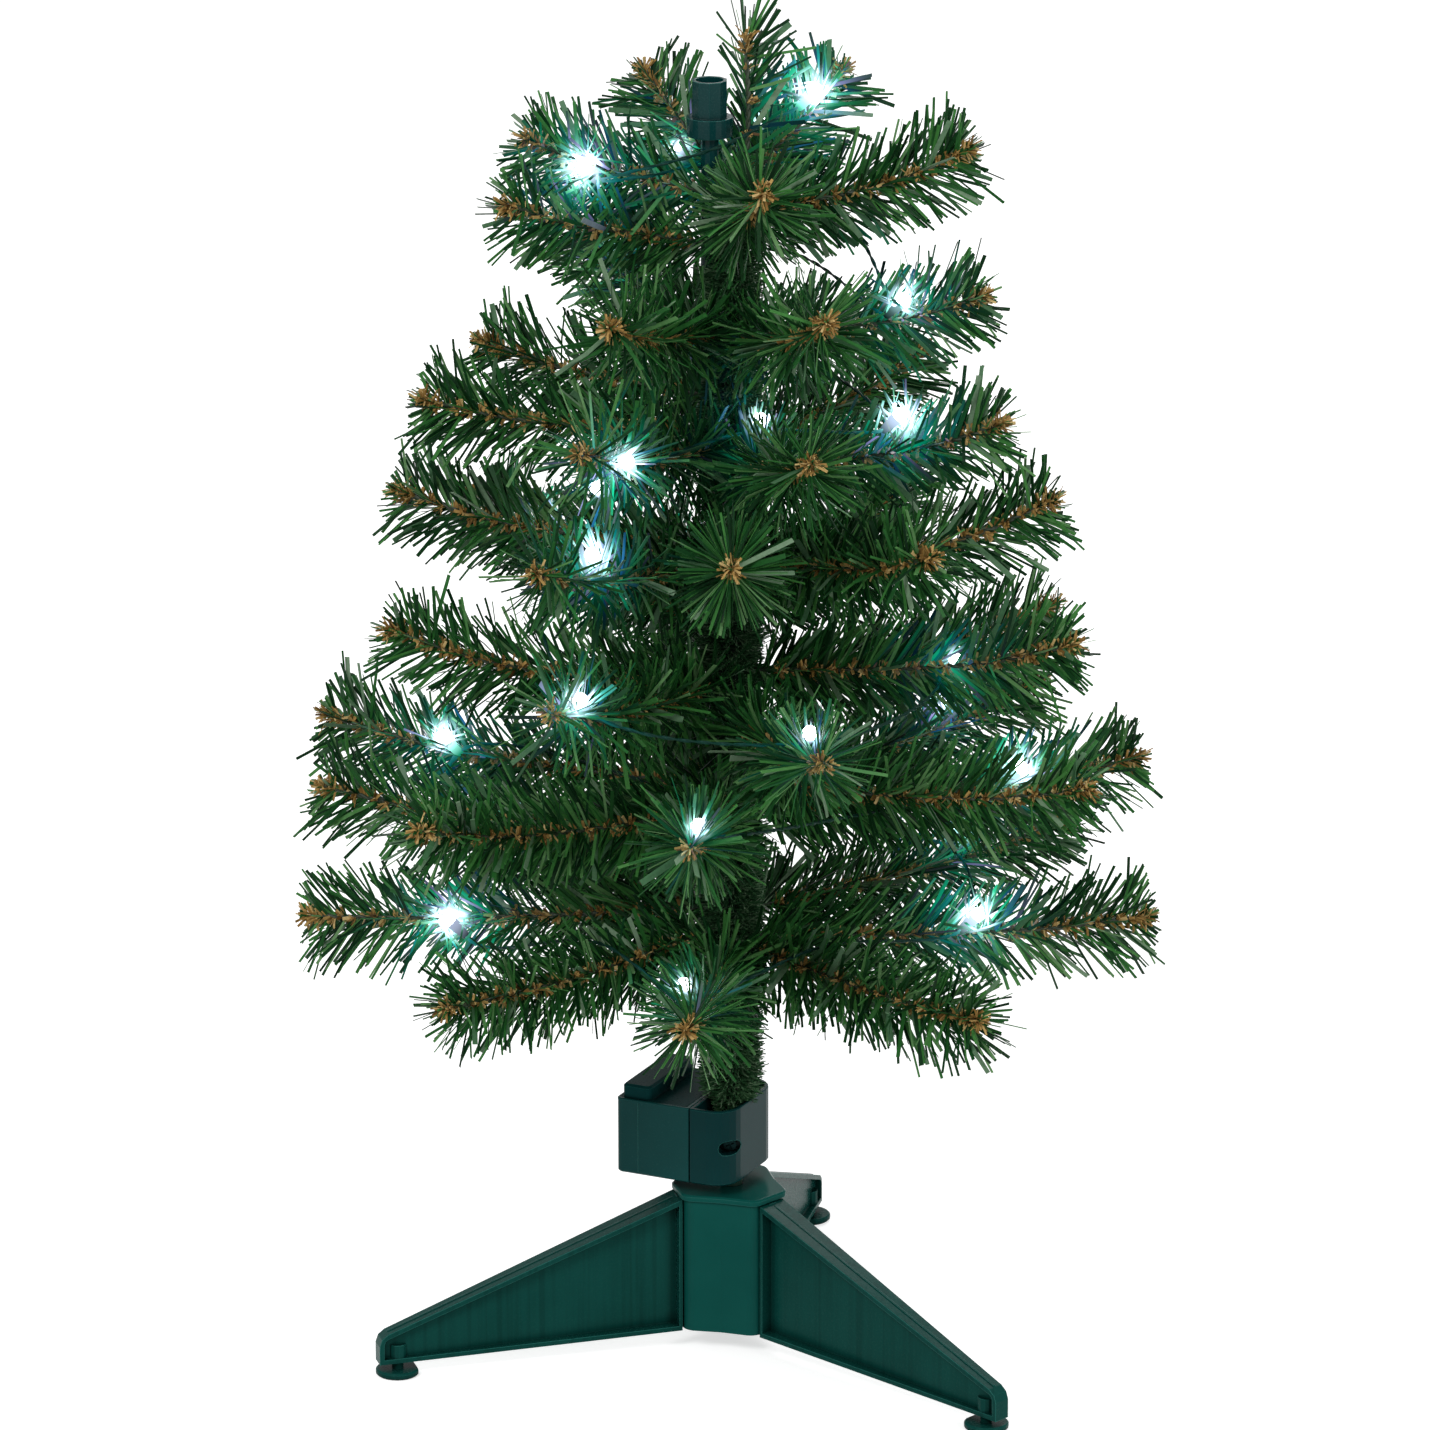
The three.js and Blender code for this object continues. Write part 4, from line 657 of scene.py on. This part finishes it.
class Tinsel:
    """Strips gathered for one object, with those near a lamp in finer steps."""

    def __init__(self):
        self.parts, self.sizes = [], []

    def add(self, root, way, length, width, thick, twist, bend, fine=9, plain=3):
        tip = root + way * length[:, None]
        near = np.zeros(len(root), bool)
        for share in (0, 0.33, 0.66, 1):
            p = root + (tip - root) * share
            for bulb in BULBS:
                near |= np.linalg.norm(p - bulb, axis=1) < FINE_STEPS_WITHIN
        for chosen, rings in ((~near, plain), (near, fine)):
            n = int(chosen.sum())
            if n:
                self.parts.append(strips(root[chosen], way[chosen], length[chosen], width[chosen],
                                         np.full(n, thick), twist[chosen], bend[chosen], rings))
                self.sizes += [4 * rings] * n

    def add_loose(self, rng, root, way, length, width, thick, bend_spread, fine=9):
        """Adds the strips that have nothing in their way, each turned at random about its own length."""
        n = len(root)
        keep = clear_of(root, root + way * length[:, None], width / 2)
        self.add(root[keep], way[keep], length[keep], width[keep], thick,
                 rng.uniform(0, 2 * math.pi, n)[keep], rng.normal(0, bend_spread, n)[keep], fine)

    def build(self, name, material):
        piece = new_object(name, *merge(self.parts), material)
        lamp_light(piece, self.sizes)
        return piece


# Counts of strips, and their usual sizes in millimetres, with the lean in degrees and the turn in radians
BRANCH_BARE_ROOT = 3
BRANCH_BARE_TIP = 4
LEADER_BARE_ROOT = 14
LEADER_BARE_TIP = 1.5
NEEDLES_PER_MM = 4.9
NEEDLE_LENGTH = 27.5
NEEDLE_LEAN = 52
FINE_WIDTH = 1.05
BROAD_WIDTH = 1.5
NEEDLE_THICKNESS = 0.26
TRIM_THICKNESS = 0.2
TUFT_THICKNESS = 0.3
WINDING_THICKNESS = 0.18
TIP_NEEDLES = 24
LAMP_NEEDLES = 44
SPIRAL_PITCH = 2.6
SPIRAL_TURN = 2.4
KNOT_START = 14
KNOT_PITCH = 4.8
KNOT_STRIPS = 16
TIP_STRIPS = 76
WINDINGS_PER_MM = 64
WINDING_LENGTH = 9.2
WINDING_ROOT = 5.3

TIERS = (1, 2, 3, 4)
needle_parts = {(tier, half): Tinsel() for tier in TIERS for half in ("a", "b")}
pale_parts = {tier: Tinsel() for tier in TIERS}
tuft_parts = {tier: Tinsel() for tier in TIERS}
stem_parts = {tier: [] for tier in TIERS}

Stem = namedtuple("Stem", "number tier points reach start is_leader")
curves = [(row[0], stem_points(*row[1:])) for row in BRANCHES] + [(TIERS[-1], LEADER)]
stems = []
for number, (tier, points) in enumerate(curves):
    is_leader = number == len(BRANCHES)
    start = LEADER_BARE_ROOT if is_leader else BRANCH_BARE_ROOT
    stems.append(Stem(number, tier, points, total_length(points), start, is_leader))


def ease(value, low, high):
    t = np.clip((value - low) / (high - low), 0, 1)
    return t * t * (3 - 2 * t)


def around(tangent, phi, lean):
    """Directions that lean away from a tangent, each at its own angle about it."""
    a, b = frames(tangent)
    out = a * np.cos(phi)[:, None] + b * np.sin(phi)[:, None]
    return unit(tangent * np.cos(lean)[:, None] + out * np.sin(lean)[:, None]), out


def needles_of(stem):
    """Every other stem's needles go to the tier's second piece."""
    return needle_parts[stem.tier, "a" if stem.number % 2 else "b"]


def add_needles(stem, rng):
    """Wound film leaves the stem in a spiral, in clumps of a few strips with gaps between them."""
    bare = LEADER_BARE_TIP if stem.is_leader else BRANCH_BARE_TIP
    count = int((stem.reach - stem.start) * NEEDLES_PER_MM)
    share = (np.arange(count) + rng.uniform(0, 1, count)) / count
    s = stem.start + (stem.reach - stem.start - bare) * (0.86 * share + 0.14 * share**2)
    phi = np.floor(s / SPIRAL_PITCH) * SPIRAL_TURN + rng.normal(0, 1.1, count)
    place, tangent = along(stem.points, s)
    # Stems that point at the viewer are fanned out wider
    towards = ease(tangent @ TO_CAMERA, 0.7, 0.9)
    lean = rng.normal(NEEDLE_LEAN, 20 if stem.is_leader else 9, count) + 15 * towards
    lean = np.radians(lean.clip(22, 88))
    way, out = around(tangent, phi, lean)
    way = unit(way + rng.normal(0, 0.07, (count, 3)))
    length = rng.normal(NEEDLE_LENGTH, 3.2, count).clip(16, 34)
    if not stem.is_leader:
        # Trimmed square, a little past the stem's tip
        trimmed = (stem.reach - s + rng.uniform(0.5, 4.5, count)) / np.cos(lean)
        length = np.minimum(length, trimmed)
    length *= 1 + towards * rng.uniform(-0.12, 0.1, count)
    fine = rng.uniform(0, 1, count) < 0.5
    width = np.where(fine, rng.normal(FINE_WIDTH, 0.15, count), rng.normal(BROAD_WIDTH, 0.25, count))
    width = width.clip(0.6, 2.3)
    pale = rng.uniform(0, 1, count) < 0.05
    width[pale] = rng.uniform(1.9, 2.9, int(pale.sum()))
    width *= 1.2 if stem.is_leader else 1 + 0.12 * towards
    # The film is cut across, so most strips stand with their edges fore and aft along the stem
    a, b = frames(way)
    across = np.cross(tangent, way)
    twist = np.arctan2((across * b).sum(1), (across * a).sum(1)) + rng.normal(0, 0.55, count)
    bend = rng.normal(0.0, 0.07, count)
    keep = clear_of(place, place + way * length[:, None], width / 2)
    # Fanned out by hand: film is parted in front of the stems that are seen from the side
    facing = ease(out @ TO_CAMERA, 0.25, 0.8) * (1 - (tangent @ TO_CAMERA) ** 2)
    parted = 0.86 * facing + 0.3 * towards + (0.35 if stem.is_leader else 0)
    keep &= rng.uniform(0, 1, count) > parted
    for chosen, parts in ((keep & ~pale, needles_of(stem)), (keep & pale, pale_parts[stem.tier])):
        parts.add(place[chosen], way[chosen], length[chosen], width[chosen], NEEDLE_THICKNESS,
                  twist[chosen], bend[chosen])


def add_tip_needles(stem, rng):
    """The trimmed needles of the very tip."""
    n = TIP_NEEDLES
    place, tangent = along(stem.points, stem.reach - rng.uniform(1, 9, n))
    phi = rng.uniform(0, 2 * math.pi, n)
    way, _ = around(tangent, phi, np.radians(rng.normal(56 if stem.is_leader else 24, 16, n)))
    length = rng.uniform(20, 29, n) if stem.is_leader else rng.uniform(4, 8, n)
    width = rng.uniform(0.7, 1.5, n)
    needles_of(stem).add_loose(rng, place, way, length, width, TRIM_THICKNESS, 0.1)


def add_lamp_needles(stem, bulb, rng):
    """Film that a lamp is pushed in among."""
    n = LAMP_NEEDLES
    step = np.argmin(np.linalg.norm(stem.points - bulb, axis=1))
    at = total_length(stem.points[:step + 1]) if step else 0.0
    place, _ = along(stem.points, (at + rng.uniform(-16, 10, n)).clip(stem.start, stem.reach))
    aim = unit(rng.normal(0, 1, (n, 3))) * rng.uniform(3.7, 7.6, n)[:, None]
    way = unit(bulb + aim - place)
    length = rng.uniform(22, 32, n)
    width = rng.uniform(0.6, 1.5, n)
    needles_of(stem).add_loose(rng, place, way, length, width, TRIM_THICKNESS, 0.05)


def add_tufts(stem, rng):
    """Short ochre tinsel in small knots close to the stem, and a thicker knot at its tip."""
    knots = np.arange(KNOT_START, stem.reach - 6, 3 * KNOT_PITCH if stem.is_leader else KNOT_PITCH)
    n = len(knots) * KNOT_STRIPS
    s = np.concatenate([np.repeat(knots, KNOT_STRIPS) + rng.normal(0, 0.6, n),
                        stem.reach - rng.uniform(-1.0, 8, TIP_STRIPS)])
    place, tangent = along(stem.points, s.clip(0, stem.reach))
    side = np.repeat(np.arange(len(knots)) * SPIRAL_TURN, KNOT_STRIPS) + rng.normal(0, 1.0, n)
    lean = np.radians(np.concatenate([rng.normal(66, 18, n), rng.normal(48, 24, TIP_STRIPS)]))
    way, _ = around(tangent, np.concatenate([side, rng.uniform(0, 2 * math.pi, TIP_STRIPS)]), lean)
    length = np.concatenate([rng.uniform(3.0, 5.6, n), rng.uniform(3.5, 7.4, TIP_STRIPS)])
    width = np.concatenate([rng.uniform(0.8, 1.7, n), rng.uniform(0.55, 1.3, TIP_STRIPS)])
    tuft_parts[stem.tier].add_loose(rng, place, way, length, width, TUFT_THICKNESS, 0.28, fine=4)


# Each lamp is pushed in among the film of the stem that is nearest to it
nearest = [min(stems, key=lambda stem: np.linalg.norm(stem.points - bulb, axis=1).min()) for bulb in BULBS]
for stem in stems:
    rng = np.random.default_rng(100 + stem.number)
    add_needles(stem, rng)
    add_tip_needles(stem, rng)
    for bulb, holder in zip(BULBS, nearest):
        if holder is stem:
            add_lamp_needles(stem, bulb, rng)
    add_tufts(stem, rng)
    stem_parts[stem.tier] += twisted_pair(stem.points, step=2.2, pitch=9, offset=0.55, radius=0.75)


def winding(tier, low, high):
    """The trunk's own winding of short fine film, thinner where it goes into the clamp."""
    rng = np.random.default_rng(50 + tier)
    count = int((high - low) * WINDINGS_PER_MM)
    z = low + (high - low) * (np.arange(count) + rng.uniform(0, 1, count)) / count
    phi = rng.uniform(0, 2 * math.pi, count)
    radial = np.stack([np.cos(phi), np.sin(phi), np.zeros(count)], 1)
    place = radial * WINDING_ROOT + np.stack([np.zeros(count), np.zeros(count), z], 1)
    lean = np.radians(rng.normal(14, 20, count))
    swirl = np.stack([-np.sin(phi), np.cos(phi), np.zeros(count)], 1) * rng.normal(0, 0.45, count)[:, None]
    way = unit(radial * np.cos(lean)[:, None] + np.array([0, 0, 1]) * np.sin(lean)[:, None] + swirl)
    thinned = np.interp(z, [107, 113, 118], [0.25, 0.4, 1])
    length = rng.normal(WINDING_LENGTH, 1.1, count) * thinned
    width = rng.uniform(0.3, 0.7, count)
    keep = clear_of(place + radial * 0.6, place + way * length[:, None], width / 2)
    n = int(keep.sum())
    tinsel = Tinsel()
    tinsel.add(place[keep], way[keep], length[keep], width[keep], WINDING_THICKNESS,
               rng.uniform(0, 2 * math.pi, n), rng.normal(0, 0.1, n), fine=2, plain=2)
    return tinsel


splits = [TREE_HEIGHT * share for share in TIER_SPLIT_SHARES]
tier_bounds = [GARLAND_BOTTOM, *splits, GARLAND_TOP]
for tier, low, high in zip(TIERS, tier_bounds, tier_bounds[1:]):
    needles = needle_parts[tier, "a"].build(f"needles_{tier}", needle_film)
    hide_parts(f"foliage_tier_{tier}")
    needle_parts[tier, "b"].build(f"more_needles_{tier}", needle_film)
    pale_parts[tier].build(f"pale_needles_{tier}", pale_film)
    tuft_parts[tier].build(f"tufts_{tier}", tuft_film)
    new_object(f"stems_{tier}", *merge(stem_parts[tier]), stem_wire, smooth=True)
    winding(tier, low, high).build(f"garland_{tier}", garland_film)

# Fine moulding line down the front of the battery box, sunk in a little and standing proud by less
BOX_TURN = math.radians(-25)
BOX_FRONT = -23.4
BOX_BOTTOM = 80
BOX_TOP = 115
LINE_PLACE = -34.7
LINE_WIDTH = 0.3
LINE_SINK = 0.1
LINE_RISE = 0.06
LINE_INSET = 1.2


def moulding_line():
    left, right = LINE_PLACE - LINE_WIDTH / 2, LINE_PLACE + LINE_WIDTH / 2
    inner, outer = BOX_FRONT + LINE_SINK, BOX_FRONT - LINE_RISE
    corners = []
    for z in (BOX_BOTTOM + LINE_INSET, BOX_TOP - LINE_INSET):
        for x, y in ((left, inner), (right, inner), (right, outer), (left, outer)):
            corners.append((x * math.cos(BOX_TURN) - y * math.sin(BOX_TURN),
                            x * math.sin(BOX_TURN) + y * math.cos(BOX_TURN), z))
    faces = [(0, 1, 2, 3), (7, 6, 5, 4), (0, 4, 5, 1), (1, 5, 6, 2), (2, 6, 7, 3), (3, 7, 4, 0)]
    new_object("box_moulding_line", corners, faces, box_plastic)


moulding_line()

# Light string and lamps, with each lamp's holder and bulb as radii and heights over its place on the wire
HOLDER = [(0, -1.6), (1.4, -1.5), (1.8, -0.8), (2.2, 2.4), (2.0, 2.8), (2.35, 3.2), (2.6, 5.0), (2.75, 5.4),
          (2.75, 7.8), (2.5, 8.0), (2.1, 8.0), (2.05, 5.8), (0, 5.8)]
BULB = [(0, 6.1), (1.8, 6.1), (1.8, 7.6), (2.9, 8.1), (3.2, 9.6), (3.0, 10.9), (2.3, 12.1), (1.2, 12.7),
        (0, 12.9)]
SLEEVE_LIGHT = 0.6
LAMP_GLOW = 9

sleeve = moulded("wire_sleeve", (0.003, 0.02, 0.013), (0.005, 0.032, 0.021), 0.35)
lit_by_lamps(sleeve, SLEEVE_LIGHT)
string_parts = twisted_pair(catmull([w[:3] for w in WIRE], 30), step=2.4, pitch=16, offset=0.42, radius=0.46)
string_parts += [lathe(HOLDER, place, way) for place, way in zip(LAMPS, LAMP_WAYS)]
string = new_object("string", *merge(string_parts), sleeve, smooth=True)
lamp_light(string, [len(part[0]) for part in string_parts])
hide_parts("light_string")

lamp_resin, lamp_tree, lamp_bsdf = shader("lamp_resin", (0.9, 0.96, 1.0), 0.12, IOR=1.5)
lamp_bsdf.inputs["Emission Strength"].default_value = LAMP_GLOW
lamp_color = ramp(lamp_tree, noise(lamp_tree, 600, 1), [(0.2, (0.75, 0.98, 1.0)), (0.8, (1.0, 1.0, 1.0))])
lamp_tree.links.new(lamp_color, lamp_bsdf.inputs["Emission Color"])
for number, (place, way) in enumerate(zip(LAMPS, LAMP_WAYS), 1):
    bulb = new_object(f"bulb_{number:02d}", *lathe(BULB, place, way), lamp_resin, smooth=True)
    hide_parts(f"lamp_{number:02d}")
